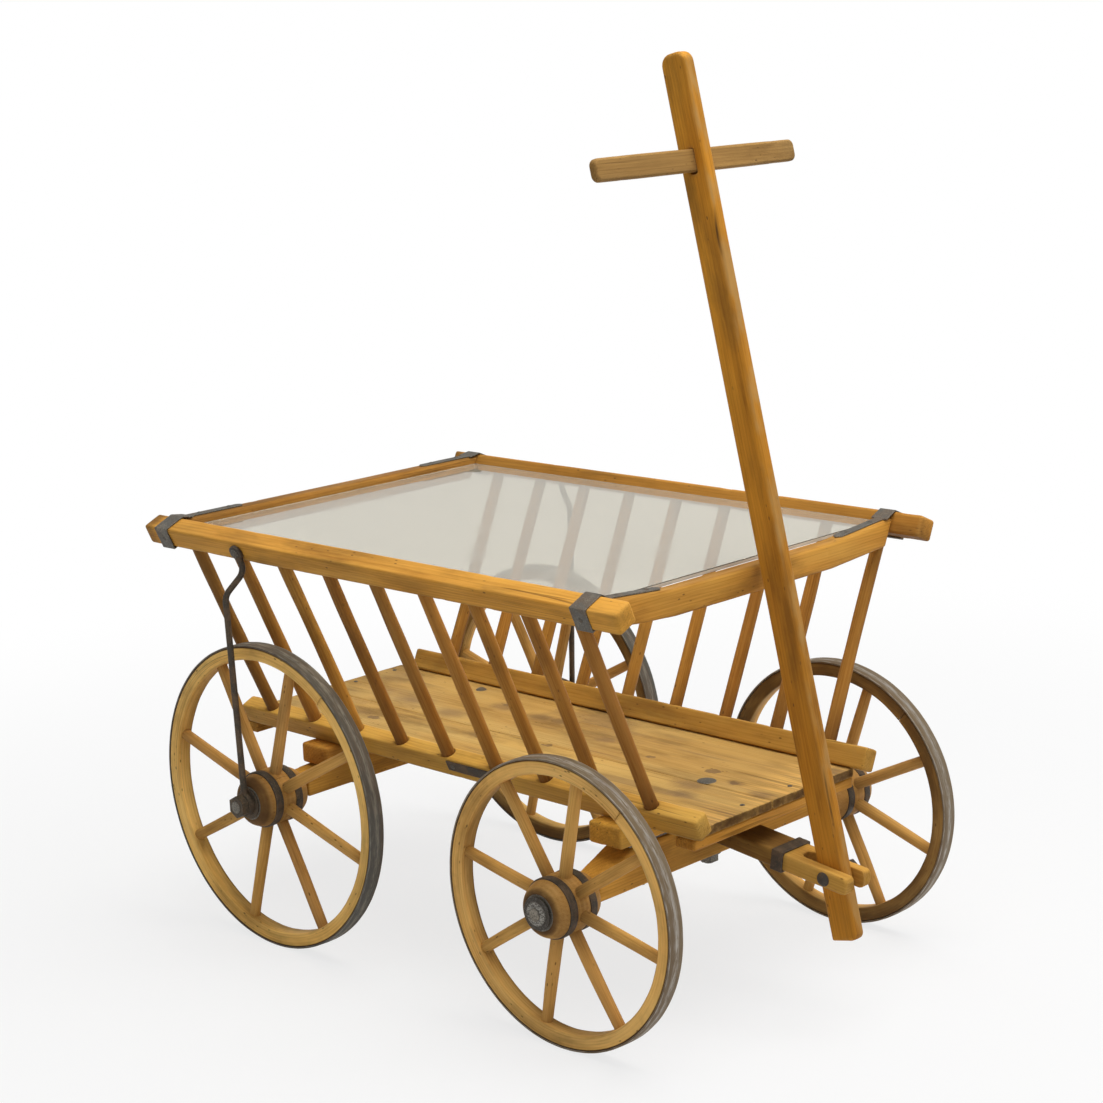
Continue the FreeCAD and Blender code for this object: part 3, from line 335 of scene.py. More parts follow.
def weathered(name, run, side, seed, cell=None, light=1, heavy=5, wave=None, dent=None, ragged=0.0):
    """The part of that name with worn corners, waves, dents and broken end grain. Its grain follows run,
    and side points across one of its faces. Light and heavy smooth the kept and the worn corners."""
    cell = cell or sizes().timber_cell
    wave = wave or sizes().wave
    dent = dent or sizes().dent
    matrix = axes(run, side, middle(name))
    mesh = frame["nodes"][name].data.copy()
    mesh.transform(matrix.inverted())
    fresh = smoothed(mesh, light, cell)
    grain = read_vectors(fresh.vertices, "co")
    normals = read_vectors(fresh.vertex_normals, "vector")
    worn = read_vectors(smoothed(fresh, heavy).vertices, "co") - grain
    amount = np.clip(0.45 + 0.75 * ripple(grain, 0.03, 0.06, seed), 0, 1)
    relief = wave * ripple(grain, 0.05, 0.16, seed + 1)
    relief -= dent * np.clip(ripple(grain, 0.016, 0.03, seed + 2) * 2.2 - 1.0, 0, 1)
    points = grain + worn * amount[:, None] + normals * relief[:, None]
    end = ramp(np.abs(normals[:, 2]), 0.6, 1)
    if ragged:
        flat = grain * (1, 1, 0)
        coarse = ripple(flat, 0.012, 1, seed + 3)
        fine = ripple(flat, 0.0045, 1, seed + 4)
        points[:, 2] += np.sign(normals[:, 2]) * end * ragged * (0.6 * coarse + 0.4 * fine - 0.5)
    edge = np.clip(np.linalg.norm(worn, axis=1) / (0.30 * cell), 0, 1)
    faces = [list(polygon.vertices) for polygon in fresh.polygons]
    grain += grain_shift(seed + 20, seed + 30, seed + 40)
    shape = Shape(to_cart(points, matrix), faces, grain, one_value(seed), end, edge)
    shape.up = normals @ np.array(matrix.to_3x3())[2]
    shape.matrix = matrix
    return shape


def eased(name, width):
    """The part of that name with its sharp edges rounded."""
    work = bmesh.new()
    work.from_mesh(frame["nodes"][name].data)
    bmesh.ops.remove_doubles(work, verts=work.verts, dist=1e-6)
    bmesh.ops.dissolve_limit(work, angle_limit=FLAT_ANGLE, verts=work.verts, edges=work.edges)
    sharp = [edge for edge in work.edges if edge.is_manifold and edge.calc_face_angle() > SHARP_ANGLE]
    bevel = bmesh.ops.bevel(work, geom=sharp, offset=width, segments=2, profile=0.6, affect="EDGES",
                            clamp_overlap=True)
    bmesh.ops.triangulate(work, faces=[face for face in work.faces if len(face.verts) > 4])
    # Bevelling leaves the points and faces in no set order, so they are sorted
    points = []
    for place, vertex in enumerate(sorted(work.verts, key=lambda vertex: tuple(vertex.co))):
        vertex.index = place
        points.append(tuple(vertex.co))
    faces = []
    for face in work.faces:
        corners = [vertex.index for vertex in face.verts]
        first = corners.index(min(corners))
        faces.append(corners[first:] + corners[:first])
    edge = np.zeros(len(points))
    edge[[vertex.index for vertex in bevel["verts"]]] = 1
    work.free()
    return Shape(points, sorted(faces), points, edge=edge)


def filed(name, width, finish):
    """Shows the part of that name with its sharp edges filed round and its flats kept flat."""
    piece = show(eased(name, width), name, finish)
    piece.modifiers.new("Flats", "WEIGHTED_NORMAL").weight = 100
    return piece


def walls(rings, count, closed=False):
    """Faces between neighbouring rings of points, and from the last ring to the first if closed."""
    faces = []
    for ring in range(rings if closed else rings - 1):
        near = ring * count
        far = (ring + 1) % rings * count
        for place in range(count):
            other = (place + 1) % count
            faces.append([near + place, near + other, far + other, far + place])
    return faces


def stick(start, end, first, last, seed, bow, sides=22, step=0.011):
    """A hand-shaved round stick between two points, a little bent and uneven, with grime at its ends.
    First and last are its radii there."""
    start = Vector(start)
    run = Vector(end) - start
    matrix = axes(run, run.orthogonal(), start)
    rings = max(8, round(run.length / step)) + 1
    along = np.repeat(np.linspace(0, run.length, rings), sides)
    turn = np.tile(np.linspace(0, 2 * math.pi, sides, endpoint=False), rings)
    share = along / run.length
    circle = np.stack([np.cos(turn), np.sin(turn)], axis=1)
    radius = first + (last - first) * share
    local = np.column_stack([circle * radius[:, None], along])
    line = np.column_stack([along / 0.07, np.full(len(along), seed), np.zeros(len(along))])
    swell = 0.035 * scatter(line, seed)
    shaved = 0.00035 * ripple(local, 0.007, 0.05, seed + 4)
    local[:, :2] = circle * (radius * (1 + swell) + shaved)[:, None]
    grain = local + grain_shift(seed + 1, seed + 2, seed + 3)
    away = 2 * math.pi * one_value(seed + 5)
    local[:, :2] += np.outer(np.sin(math.pi * share), (math.cos(away), math.sin(away))) * bow
    faces = walls(rings, sides)
    faces.append(list(range(sides))[::-1])
    faces.append(list(range((rings - 1) * sides, rings * sides)))
    soil = 0.6 * ramp(along, 0.06, 0) + 0.4 * ramp(run.length - along, 0.035, 0)
    return Shape(to_cart(local, matrix), faces, grain, one_value(seed), soil=soil)


def in_metres(corners, way=1):
    """An outline's corners in millimetres, turned to metres and, the other way, mirrored along the axle."""
    return [(way * along / 1000, radius / 1000, bend / 1000) for along, radius, bend in corners]


def rounded(corners, steps=4):
    """A closed outline whose corners, given as place, place and radius, are rounded, and how near
    each of its points is to the middle of a corner."""
    outline = []
    edge = []
    total = len(corners)
    for index, (across, up, radius) in enumerate(corners):
        here = Vector((across, up))
        before = Vector(corners[index - 1][:2]) - here
        after = Vector(corners[(index + 1) % total][:2]) - here
        if not radius:
            outline.append(tuple(here))
            edge.append(0)
            continue
        first = here + before.normalized() * min(radius, before.length * 0.45)
        last = here + after.normalized() * min(radius, after.length * 0.45)
        for step in range(steps + 1):
            share = step / steps
            outline.append(tuple(first.lerp(here, share).lerp(here.lerp(last, share), share)))
            edge.append(1 - abs(2 * share - 1))
    return np.array(outline), np.array(edge)


def swept(corners, centre, way, segments, seed, relief, gap=None, hoop=False):
    """An outline of places along the axle and radii, swept round a wheel's centre. A gap, an angle and a
    width, leaves the ring open there. A hoop's grain follows the ring, and any other's follows the axle."""
    outline, edge = rounded(corners)
    count = len(outline)
    if gap:
        angle, width = gap
        half = width / 2 / outline[:, 1].max()
        turns = np.linspace(angle + half, angle + 2 * math.pi - half, segments + 1)
    else:
        turns = np.linspace(0, 2 * math.pi, segments, endpoint=False)
    rings = len(turns)
    turn = np.repeat(turns, count)
    along = np.tile(outline[:, 0], rings)
    radius = np.tile(outline[:, 1], rings)
    mean = outline[:, 1].mean()
    flat = np.column_stack([along, radius * np.cos(turn), radius * np.sin(turn)])
    coarse = ripple(flat, 0.03, 0.03, seed)
    fine = ripple(flat, 0.009, 0.009, seed + 1)
    radius = radius + relief * (0.6 * coarse + 0.4 * fine)
    points = np.column_stack([centre[0] + way * along, centre[1] + radius * np.cos(turn),
                              centre[2] + radius * np.sin(turn)])
    if hoop:
        grain = np.column_stack([along + 0.03, radius - mean + 0.04, turn * mean])
    else:
        grain = np.column_stack([flat[:, 1] + 0.006, flat[:, 2] + 0.009, along])
    grain[:, 2] += 3 * one_value(seed)
    faces = [face[::-way] for face in walls(rings, count, not gap)]
    if gap:
        faces.append(list(range(count))[::way])
        faces.append(list(range((rings - 1) * count, rings * count))[::-way])
    return Shape(points, faces, grain, one_value(seed), edge=np.tile(edge, rings))


def from_axle(shape, centre):
    """How far each point is from the axle through a wheel's centre."""
    return np.hypot(shape.points[:, 1] - centre.y, shape.points[:, 2] - centre.z)


# Node trees

class Graph:
    """Adds nodes to one tree and links them."""

    def __init__(self, tree):
        self.tree = tree

    def add(self, kind, inputs=None, **settings):
        """A new node with its settings, and its inputs linked or set."""
        node = self.tree.nodes.new(kind)
        for name, value in settings.items():
            setattr(node, name, value)
        for name, value in (inputs or {}).items():
            self.feed(node.inputs[name], value)
        return node

    def feed(self, socket, value):
        """Links a socket to an output, or sets it to a plain value."""
        if isinstance(value, bpy.types.NodeSocket):
            self.tree.links.new(value, socket)
        else:
            socket.default_value = value

    def math(self, operation, first, second=0.0, clamp=False):
        inputs = {0: first, 1: second}
        return self.add("ShaderNodeMath", inputs, operation=operation, use_clamp=clamp).outputs[0]

    def times(self, first, second, clamp=False):
        return self.math("MULTIPLY", first, second, clamp)

    def plus(self, first, second, clamp=False):
        return self.math("ADD", first, second, clamp)

    def minus(self, first, second, clamp=False):
        return self.math("SUBTRACT", first, second, clamp)

    def vector(self, operation, first, second):
        return self.add("ShaderNodeVectorMath", {0: first, 1: second}, operation=operation).outputs[0]

    def scaled(self, vector, scale):
        return self.vector("MULTIPLY", vector, scale)

    def length(self, vector):
        return self.add("ShaderNodeVectorMath", {0: vector}, operation="LENGTH").outputs["Value"]

    def place(self):
        """Where a point is in the cart."""
        return self.add("ShaderNodeTexCoord").outputs["Object"]

    def part(self, vector, axis):
        return self.add("ShaderNodeSeparateXYZ", {0: vector}).outputs[axis]

    def noise(self, vector, scale, detail=2.0, rough=0.5, output="Fac"):
        inputs = {"Vector": self.scaled(vector, scale), "Scale": 1.0, "Detail": detail, "Roughness": rough}
        return self.add("ShaderNodeTexNoise", inputs).outputs[output]

    def between(self, value, low, high, start=0.0, stop=1.0):
        """A value spread smoothly from low..high to start..stop."""
        inputs = {"Value": value, "From Min": low, "From Max": high, "To Min": start, "To Max": stop}
        return self.add("ShaderNodeMapRange", inputs, interpolation_type="SMOOTHSTEP").outputs[0]

    def patches(self, vector, scale, detail, *spread):
        """Noise with its values spread as between does it."""
        return self.between(self.noise(vector, scale, detail), *spread)

    def mix(self, factor, first, second, blend="MIX"):
        """Two colours in shares. The node's colour sockets are its seventh, eighth and third."""
        inputs = {0: factor, 6: first, 7: second}
        return self.add("ShaderNodeMix", inputs, data_type="RGBA", blend_type=blend).outputs[2]

    def mark(self, name, field="Fac"):
        """One of the marks that the meshes carry."""
        return self.add("ShaderNodeAttribute", attribute_name=name).outputs[field]

    def placed(self, name, inputs):
        """A shared effect placed in this tree with its own values."""
        return self.add("ShaderNodeGroup", inputs, node_tree=bpy.data.node_groups[name]).outputs

    def blended(self, share, first, second, output="Material Output"):
        """Two shaders in shares as the surface of a material or a world."""
        whole = self.add("ShaderNodeMixShader", {0: share, 1: first, 2: second}).outputs[0]
        self.feed(self.tree.nodes[output].inputs["Surface"], whole)


def new_group(name, inputs, outputs):
    """An empty shader group with its sockets: the graph, its inputs and its outputs."""
    tree = bpy.data.node_groups.new(name, "ShaderNodeTree")
    kinds = {"f": "NodeSocketFloat", "c": "NodeSocketColor", "v": "NodeSocketVector"}
    for label, kind in inputs.items():
        tree.interface.new_socket(label, in_out="INPUT", socket_type=kinds[kind])
    for label, kind in outputs.items():
        tree.interface.new_socket(label, in_out="OUTPUT", socket_type=kinds[kind])
    graph = Graph(tree)
    return graph, graph.add("NodeGroupInput").outputs, graph.add("NodeGroupOutput").inputs


def build_wood_figure():
    """Growth rings round a pith, fibres along the grain and slow changes of tone."""
    graph, given, made = new_group("Wood figure", {
        "Grain": "v", "Tone": "f", "Pale": "c", "Deep": "c", "Ring Spacing": "f", "Ring Amount": "f",
        "Tone Spread": "f",
    }, {"Color": "c", "Height": "f"})
    grain = given["Grain"]
    warp = graph.noise(grain, (11, 11, 1.6), 3, output="Color")
    bent = graph.vector("ADD", grain, graph.scaled(warp, (0.012, 0.012, 0.0)))
    radius = graph.length(graph.scaled(bent, (1, 1, 0)))
    ring = graph.math("FRACT", graph.math("DIVIDE", radius, given["Ring Spacing"]))
    late = graph.times(graph.between(ring, 0.35, 0.92), graph.between(ring, 1.0, 0.93))
    fibre = graph.noise(bent, (900, 900, 16), 3, 0.6)
    streak = graph.noise(bent, (190, 190, 5), 2)
    mottle = graph.noise(grain, (24, 24, 4.5), 3)
    blotch = graph.noise(grain, (8, 8, 2.1), 3, 0.6)
    share = graph.plus(graph.times(late, given["Ring Amount"]),
                       graph.between(fibre, 0.3, 0.75, -0.10, 0.30))
    share = graph.plus(share, graph.between(blotch, 0.36, 0.66, -0.18, 0.24))
    share = graph.plus(share, graph.between(streak, 0.35, 0.7, -0.05, 0.18))
    share = graph.plus(share, graph.between(mottle, 0.3, 0.7, -0.12, 0.30), clamp=True)
    figure = graph.mix(share, given["Pale"], given["Deep"])
    yellow = graph.mix(1.0, figure, (0.97, 1.03, 1.15, 1), "MULTIPLY")
    figure = graph.mix(graph.patches(grain, (13, 13, 3.4), 2, 0.42, 0.62), figure, yellow)
    lean = graph.times(graph.minus(given["Tone"], 0.5), given["Tone Spread"])
    toned = graph.add("ShaderNodeHueSaturation", {
        "Color": figure, "Saturation": 1.0, "Hue": graph.between(given["Tone"], 0, 1, 0.494, 0.505),
        "Value": graph.plus(1.0, lean),
    }).outputs[0]
    graph.feed(made["Color"], toned)
    graph.feed(made["Height"], graph.minus(graph.times(fibre, 0.6), graph.times(late, 0.25)))


def build_old_timber():
    """What years of use leave on wood: grime, specks, rubbed edges, drying cracks and dark end grain, and
    the darkening of the soil mark, which is painted shade on some pieces.
    """
    graph, given, made = new_group("Old timber", {
        "Color": "c", "Grain": "v", "Edge": "f", "End": "f", "Soil": "f", "Dirt": "c", "Rubbed": "c",
        "Dirt Amount": "f", "Rub Amount": "f", "Crack Amount": "f",
    }, {"Color": "c", "Roughness": "f", "Height": "f"})
    grain = given["Grain"]
    cloud = graph.noise(grain, (20, 20, 5), 5, 0.6)
    grime = graph.times(graph.between(cloud, 0.47, 0.72), given["Dirt Amount"], clamp=True)
    aged = graph.mix(grime, given["Color"], given["Dirt"])
    cells = graph.add("ShaderNodeTexVoronoi", {
        "Vector": graph.scaled(grain, (130, 130, 55)), "Scale": 1.0, "Randomness": 1.0,
    }).outputs["Distance"]
    patch = graph.patches(grain, (31, 31, 12), 2, 0.52, 0.62)
    speck = graph.times(graph.between(cells, 0.20, 0.08), patch)
    aged = graph.mix(graph.times(speck, 0.75), aged, given["Dirt"])
    bare = graph.patches(grain, (45, 45, 14), 3, 0.40, 0.62)
    rub = graph.times(graph.times(bare, given["Edge"]), given["Rub Amount"], clamp=True)
    aged = graph.mix(rub, aged, given["Rubbed"])
    line = graph.math("ABSOLUTE", graph.minus(graph.noise(grain, (70, 70, 1.7), 1, 0.4), 0.5))
    where = graph.patches(grain, (14, 14, 2.6), 1, 0.53, 0.60)
    crack = graph.times(graph.between(line, 0.014, 0.003), where)
    crack = graph.times(crack, given["Crack Amount"], clamp=True)
    dark = graph.mix(0.75, given["Dirt"], (0.01, 0.006, 0.003, 1))
    aged = graph.mix(graph.times(crack, 0.85), aged, dark)
    sawn = graph.noise(grain, (420, 420, 60), 2)
    ends = graph.times(given["End"], graph.between(sawn, 0.3, 0.7, 0.05, 0.40))
    aged = graph.mix(ends, aged, graph.mix(0.55, given["Color"], given["Dirt"]))
    # The soil mark darkens towards the dirt colour: soil on some pieces, painted shade on others
    soiled_and_shaded = graph.times(given["Soil"], graph.between(cloud, 0.25, 0.6, 0.55, 1.0), clamp=True)
    aged = graph.mix(soiled_and_shaded, aged, given["Dirt"])
    graph.feed(made["Color"], aged)
    rough = graph.plus(graph.between(cloud, 0.3, 0.7, 0.40, 0.56), graph.times(rub, 0.16))
    rough = graph.plus(rough, graph.times(given["End"], 0.2), clamp=True)
    graph.feed(made["Roughness"], rough)
    dip = graph.plus(graph.times(crack, 1.6), graph.times(speck, 0.5))
    graph.feed(made["Height"], graph.minus(graph.times(sawn, given["End"]), dip))


def build_forged_iron():
    """Hammered iron: dark scale, brown rust in patches, and bare metal where it is rubbed."""
    graph, given, made = new_group("Forged iron", {
        "Place": "v", "Edge": "f", "Dark": "c", "Rust": "c", "Bright": "c",
        "Rust Amount": "f", "Rub Amount": "f",
    }, {"Color": "c", "Roughness": "f", "Metallic": "f", "Height": "f"})
    place = given["Place"]
    cloud = graph.noise(place, (38, 38, 38), 5, 0.62)
    grit = graph.noise(place, (520, 520, 520), 3, 0.6)
    rust = graph.times(graph.between(cloud, 0.44, 0.66), given["Rust Amount"], clamp=True)
    skin = graph.mix(rust, given["Dark"], given["Rust"])
    dusty = graph.mix(0.5, given["Rust"], given["Bright"])
    skin = graph.mix(graph.between(grit, 0.5, 0.75, 0.0, 0.55), skin, dusty)
    worn = graph.patches(place, (24, 24, 24), 4, 0.56, 0.72, 0.0, 0.8)
    rub = graph.plus(graph.times(given["Edge"], 0.75), worn)
    rub = graph.times(rub, graph.between(grit, 0.35, 0.6))
    rub = graph.times(rub, given["Rub Amount"], clamp=True)
    graph.feed(made["Color"], graph.mix(rub, skin, given["Bright"]))
    scale = graph.between(cloud, 0.3, 0.7, 0.52, 0.74)
    graph.feed(made["Roughness"], graph.minus(scale, graph.times(rub, 0.16)))
    metal = graph.plus(0.35, graph.times(rub, 0.55))
    graph.feed(made["Metallic"], graph.minus(metal, graph.times(rust, 0.3), clamp=True))
    blows = graph.noise(place, (95, 95, 95), 1)
    graph.feed(made["Height"], graph.plus(graph.times(grit, 0.35), blows))


def build_round_mark():
    """A knot, a bolt mark or a stain round one place on the bed, dark as far out as its core."""
    graph, given, made = new_group("Round mark", {
        "Place": "v", "Middle": "v", "Radius": "f", "Core": "f",
    }, {"Mark": "f"})
    wobble = graph.noise(given["Place"], (90, 90, 90), 2, output="Color")
    bent = graph.vector("ADD", given["Place"], graph.scaled(wobble, (0.010, 0.018, 0.0)))
    away = graph.scaled(graph.vector("SUBTRACT", bent, given["Middle"]), (1, 0.62, 0))
    far = graph.math("DIVIDE", graph.length(away), given["Radius"])
    graph.feed(made["Mark"], graph.between(far, 1.1, given["Core"]))


def new_material(name, looks):
    """A new material's graph and its main shader's inputs, some of them with plain values."""
    material = bpy.data.materials.new(name)
    material.use_nodes = True
    graph = Graph(material.node_tree)
    shader = graph.tree.nodes["Principled BSDF"].inputs
    for label, value in looks.items():
        shader[label].default_value = value
    return graph, shader


def background_rays(graph):
    """The rays that see the white surroundings: from the camera, and off metal or through glass."""
    seen = graph.add("ShaderNodeLightPath").outputs
    rays = graph.math("MAXIMUM", seen["Is Camera Ray"], seen["Is Transmission Ray"])
    return graph.math("MAXIMUM", rays, graph.times(seen["Is Glossy Ray"], MIRRORED))


def bumped(graph, shader, height, distance, strength):
    """Raises a shader's surface by a height."""
    bump = graph.add("ShaderNodeBump", {"Height": height, "Strength": strength, "Distance": distance})
    graph.feed(shader["Normal"], bump.outputs[0])


def wood_figure(graph, grain, wood, ring, rings, spread):
    """The figure of one of the woods, placed in a material."""
    return graph.placed("Wood figure", {
        "Grain": grain, "Tone": graph.mark("tone"), "Pale": tint(f"{wood}_pale"),
        "Deep": tint(f"{wood}_deep"), "Ring Spacing": ring, "Ring Amount": rings, "Tone Spread": spread,
    })


def old_timber(graph, grain, skin, dirt, rub, crack):
    """The marks of years of use, placed over a wood's colour."""
    return graph.placed("Old timber", {
        "Color": skin, "Grain": grain, "Edge": graph.mark("edge"), "End": graph.mark("end"),
        "Soil": graph.mark("soil"), "Dirt": tint("dirt"), "Rubbed": tint("rubbed"),
        "Dirt Amount": dirt, "Rub Amount": rub, "Crack Amount": crack,
    })


def wood_material(name, wood, ring, dirt, rub, crack, rings=0.22, spread=0.30):
    """Varnished old wood whose figure follows each piece's own grain."""
    graph, shader = new_material(name, {"Specular IOR Level": 0.08})
    grain = graph.mark("grain", "Vector")
    figure = wood_figure(graph, grain, wood, ring, rings, spread)
    aged = old_timber(graph, grain, figure["Color"], dirt, rub, crack)
    graph.feed(shader["Base Color"], aged["Color"])
    graph.feed(shader["Roughness"], aged["Roughness"])
    height = graph.plus(graph.times(figure["Height"], 0.35), aged["Height"])
    bumped(graph, shader, height, distance=0.0007, strength=0.55)


def bed_material():
    """Bare pine boards, weathered grey in places, with knots, old bolt marks and grey stripes of painted
    shadow from the rails and spindles.
    """
    graph, shader = new_material("bed_boards", {"Specular IOR Level": 0.06})
    grain = graph.mark("grain", "Vector")
    place = graph.place()
    figure = wood_figure(graph, grain, "bed", ring=0.0052, rings=0.15, spread=0.30)
    weather = graph.between(graph.noise(place, (9, 4.5, 9), 5, 0.6), 0.50, 0.72, 0.0, 0.62)
    stained_and_shaded = graph.mix(weather, figure["Color"], tint("stain_and_shadow"))
    # Painted shadow: grey stripes along the boards stand for the shadows of the rails and spindles
    shadow_stripe = graph.times(graph.patches(place, (42, 2.6, 42), 3, 0.54, 0.66),
                         graph.patches(place, (7, 3, 7), 2, 0.46, 0.58))
    stained_and_shaded = graph.mix(graph.times(shadow_stripe, 0.5), stained_and_shaded, tint("stain_and_shadow"))
    torn = graph.times(graph.patches(place, (150, 8, 150), 3, 0.44, 0.60),
                       graph.between(graph.part(place, "Y"), -0.30, -0.385))
    stained_and_shaded = graph.mix(graph.times(torn, 0.4), stained_and_shaded, tint("rim_pale"))
    for spots, core, strength in ((KNOTS, 0.75, 0.75), (STAINS, 0.15, 0.62)):
        marks = 0.0
        for across, along, radius in spots:
            mark = graph.placed("Round mark", {
                "Place": place, "Middle": (across / 1000 + 0.005, along / 1000 + 0.009, 0.0),
                "Radius": radius / 1000, "Core": core,
            })["Mark"]
            marks = graph.math("MAXIMUM", marks, mark)
        stained_and_shaded = graph.mix(graph.times(marks, strength), stained_and_shaded, tint("stain_and_shadow"))
    aged = old_timber(graph, grain, stained_and_shaded, dirt=0.45, rub=0.5, crack=0.45)
    graph.feed(shader["Base Color"], aged["Color"])
    graph.feed(shader["Roughness"], graph.plus(aged["Roughness"], 0.08, clamp=True))
    height = graph.plus(graph.times(figure["Height"], 0.8), aged["Height"])
    bumped(graph, shader, height, distance=0.0009, strength=0.6)


def iron_material(name, dark, rust, bright, rusting, rub, drawn=1.0):
    """Old iron in one of its finishes, whose marks can be drawn out along the piece."""
    graph, shader = new_material(name, {})
    skin = graph.placed("Forged iron", {
        "Place": graph.scaled(graph.mark("grain", "Vector"), (1, 1, drawn)), "Edge": graph.mark("edge"),
        "Dark": tint(dark), "Rust": tint(rust), "Bright": tint(bright), "Rust Amount": rusting,
        "Rub Amount": rub,
    })
    graph.feed(shader["Base Color"], skin["Color"])
    graph.feed(shader["Roughness"], skin["Roughness"])
    graph.feed(shader["Metallic"], skin["Metallic"])
    bumped(graph, shader, skin["Height"], distance=0.0006, strength=0.5)


def glass_material():
    """Clear plate glass that lets the lamps through to the bed, its tint darkened as painted shade for the
    shaded floor seen through it.
    """
    looks = {"Base Color": tint("glass_tint_and_shade"), "Transmission Weight": 0.8, "IOR": 1.5}
    graph, shader = new_material("plate_glass", looks)
    smear = graph.patches(graph.place(), (7, 11, 7), 3, 0.4, 0.7, 0.015, 0.06)
    graph.feed(shader["Roughness"], smear)
    surface = graph.tree.nodes["Principled BSDF"].outputs[0]
    clear = graph.add("ShaderNodeBsdfTransparent", {"Color": (0.94, 0.94, 0.92, 1)}).outputs[0]
    shadow = graph.add("ShaderNodeLightPath").outputs["Is Shadow Ray"]
    graph.blended(shadow, surface, clear)


def rim_material():
    """The ground edge of the glass, pale with a painted shadow line along its upper arris."""
    graph, shader = new_material("glass_edge", {"Roughness": 0.45})
    place = graph.place()
    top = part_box("glass_top")[1].z
    # Painted shadow: a dark line along the edge's upper arris
    arris = graph.between(graph.part(place, "Z"), top - 0.0017, top - 0.0009)
    streak = graph.patches(place, (30, 30, 400), 2, 0.35, 0.65, 0.0, 0.25)
    pale = graph.mix(streak, tint("glass_rim"), tint("tyre_grey"))
    graph.feed(shader["Base Color"], graph.mix(arris, pale, tint("iron_dark")))


# Operators, one for each piece or group of like pieces

class CART_OT_finishes(bpy.types.Operator):
    """Makes the wood, iron and glass finishes that the pieces wear"""
    bl_idname = "cart.finishes"
    bl_label = "Finishes"

    # Each timber's wood, ring width, dirt, rubbing and cracks, with its ring strength and spread of tone
    # where they aren't the usual ones
    TIMBERS = {
        "honey_timber": ("honey", 0.0042, 0.45, 0.30, 0.6),
        "sill_timber": ("sill", 0.0042, 0.45, 0.30, 0.7),
        "pole_timber": ("pole", 0.0036, 0.5, 0.8, 0.3),
        "handle_timber": ("handle", 0.0036, 0.5, 0.6, 0.8),
        "hub_timber": ("hub", 0.0030, 0.5, 0.5, 0.8, 0.12),
        "turned_timber": ("turned", 0.0034, 0.40, 0.5, 0.6, 0.22, 0.55),
        "wheel_timber": ("rim", 0.0032, 0.45, 0.7, 0.6),
        "spoke_timber": ("spoke", 0.0034, 0.40, 0.5, 0.6),
    }
    # Each iron's dark, rusty and bright colours, rust, rubbing and how far its marks are drawn out
    IRONS = {
        "strap_iron": ("iron_dark", "iron_rust", "iron_bright", 0.55, 0.55),
        "band_iron": ("band_dark", "iron_rust", "tyre_grey", 0.7, 0.3),
        "tread_iron": ("tyre_grey", "iron_rust", "road_worn", 0.40, 1.0, 0.10),
        # The rear treads wear a darker copy of the tread iron: painted shade
        "rear_tread_iron": ("iron_dark", "iron_rust", "iron_bright", 0.6, 0.8, 0.10),
        # The front nuts' finish: worn steel on the boss, painted shadow on the flange
        "bare_steel": ("band_dark", "iron_dark", "steel", 0.3, 0.85),
    }

    def execute(self, context):
        build_wood_figure()
        build_old_timber()
        build_forged_iron()
        build_round_mark()
        for name, timber in self.TIMBERS.items():
            wood_material(name, *timber)
        bed_material()
        for name, iron in self.IRONS.items():
            iron_material(name, *iron)
        glass_material()
        rim_material()
        return {"FINISHED"}


class CART_OT_rails(bpy.types.Operator):
    """Weathers the rails of the ladder sides and the two end rails, with painted shade on the end rails'
    tops and on the undersides
    """
    bl_idname = "cart.rails"
    bl_label = "Rails"

    # Each rail's seed and finish, how light it is, the soil all over it, and the painted shade on its top
    # and underneath
    RAILS = {
        "left_bottom_rail": (2, "sill_timber", 0.55, 0.0, 0.0, 0.45),
        "left_top_rail": (8, "honey_timber", 0.5, 0.0, 0.0, 0.45),
        "right_bottom_rail": (4, "sill_timber", 0.4, 0.16, 0.0, 0.45),
        "right_top_rail": (10, "honey_timber", 0.0, 0.16, 0.0, 0.45),
        "front_end_rail": (21, "honey_timber", 0.4, 0.0, 0.42, 0.5),
        "rear_end_rail": (22, "honey_timber", 0.0, 0.4, 0.66, 0.5),
    }
    # The soil on the top rails' rear ends, and from where to where it grows
    END_SOIL = 0.6
    END_REACH = (0.492, 0.504)

    def execute(self, context):
        for name, (seed, finish, tone, overall, upper_shade, under_shade) in self.RAILS.items():
            side = name.split("_")[0]
            if side in SIDES:
                across = (math.cos(LEAN), 0, -SIDES[side] * math.sin(LEAN))
                shape = weathered(name, REAR, across, seed)
            else:
                shape = weathered(name, RIGHT, REAR, seed)
            shape.tone = np.full(len(shape.points), tone)
            # Painted shade: the tops of the end rails and the undersides of all rails are darkened
            soil = upper_shade * ramp(shape.up, 0.3, 0.8) + under_shade * ramp(shape.up, -0.4, -0.9)
            if name.endswith("top_rail"):
                soil = np.maximum(soil, self.END_SOIL * ramp(shape.points[:, 1], *self.END_REACH))
            shape.soil = np.maximum(soil, overall)
            show(shape, name, finish)
        return {"FINISHED"}


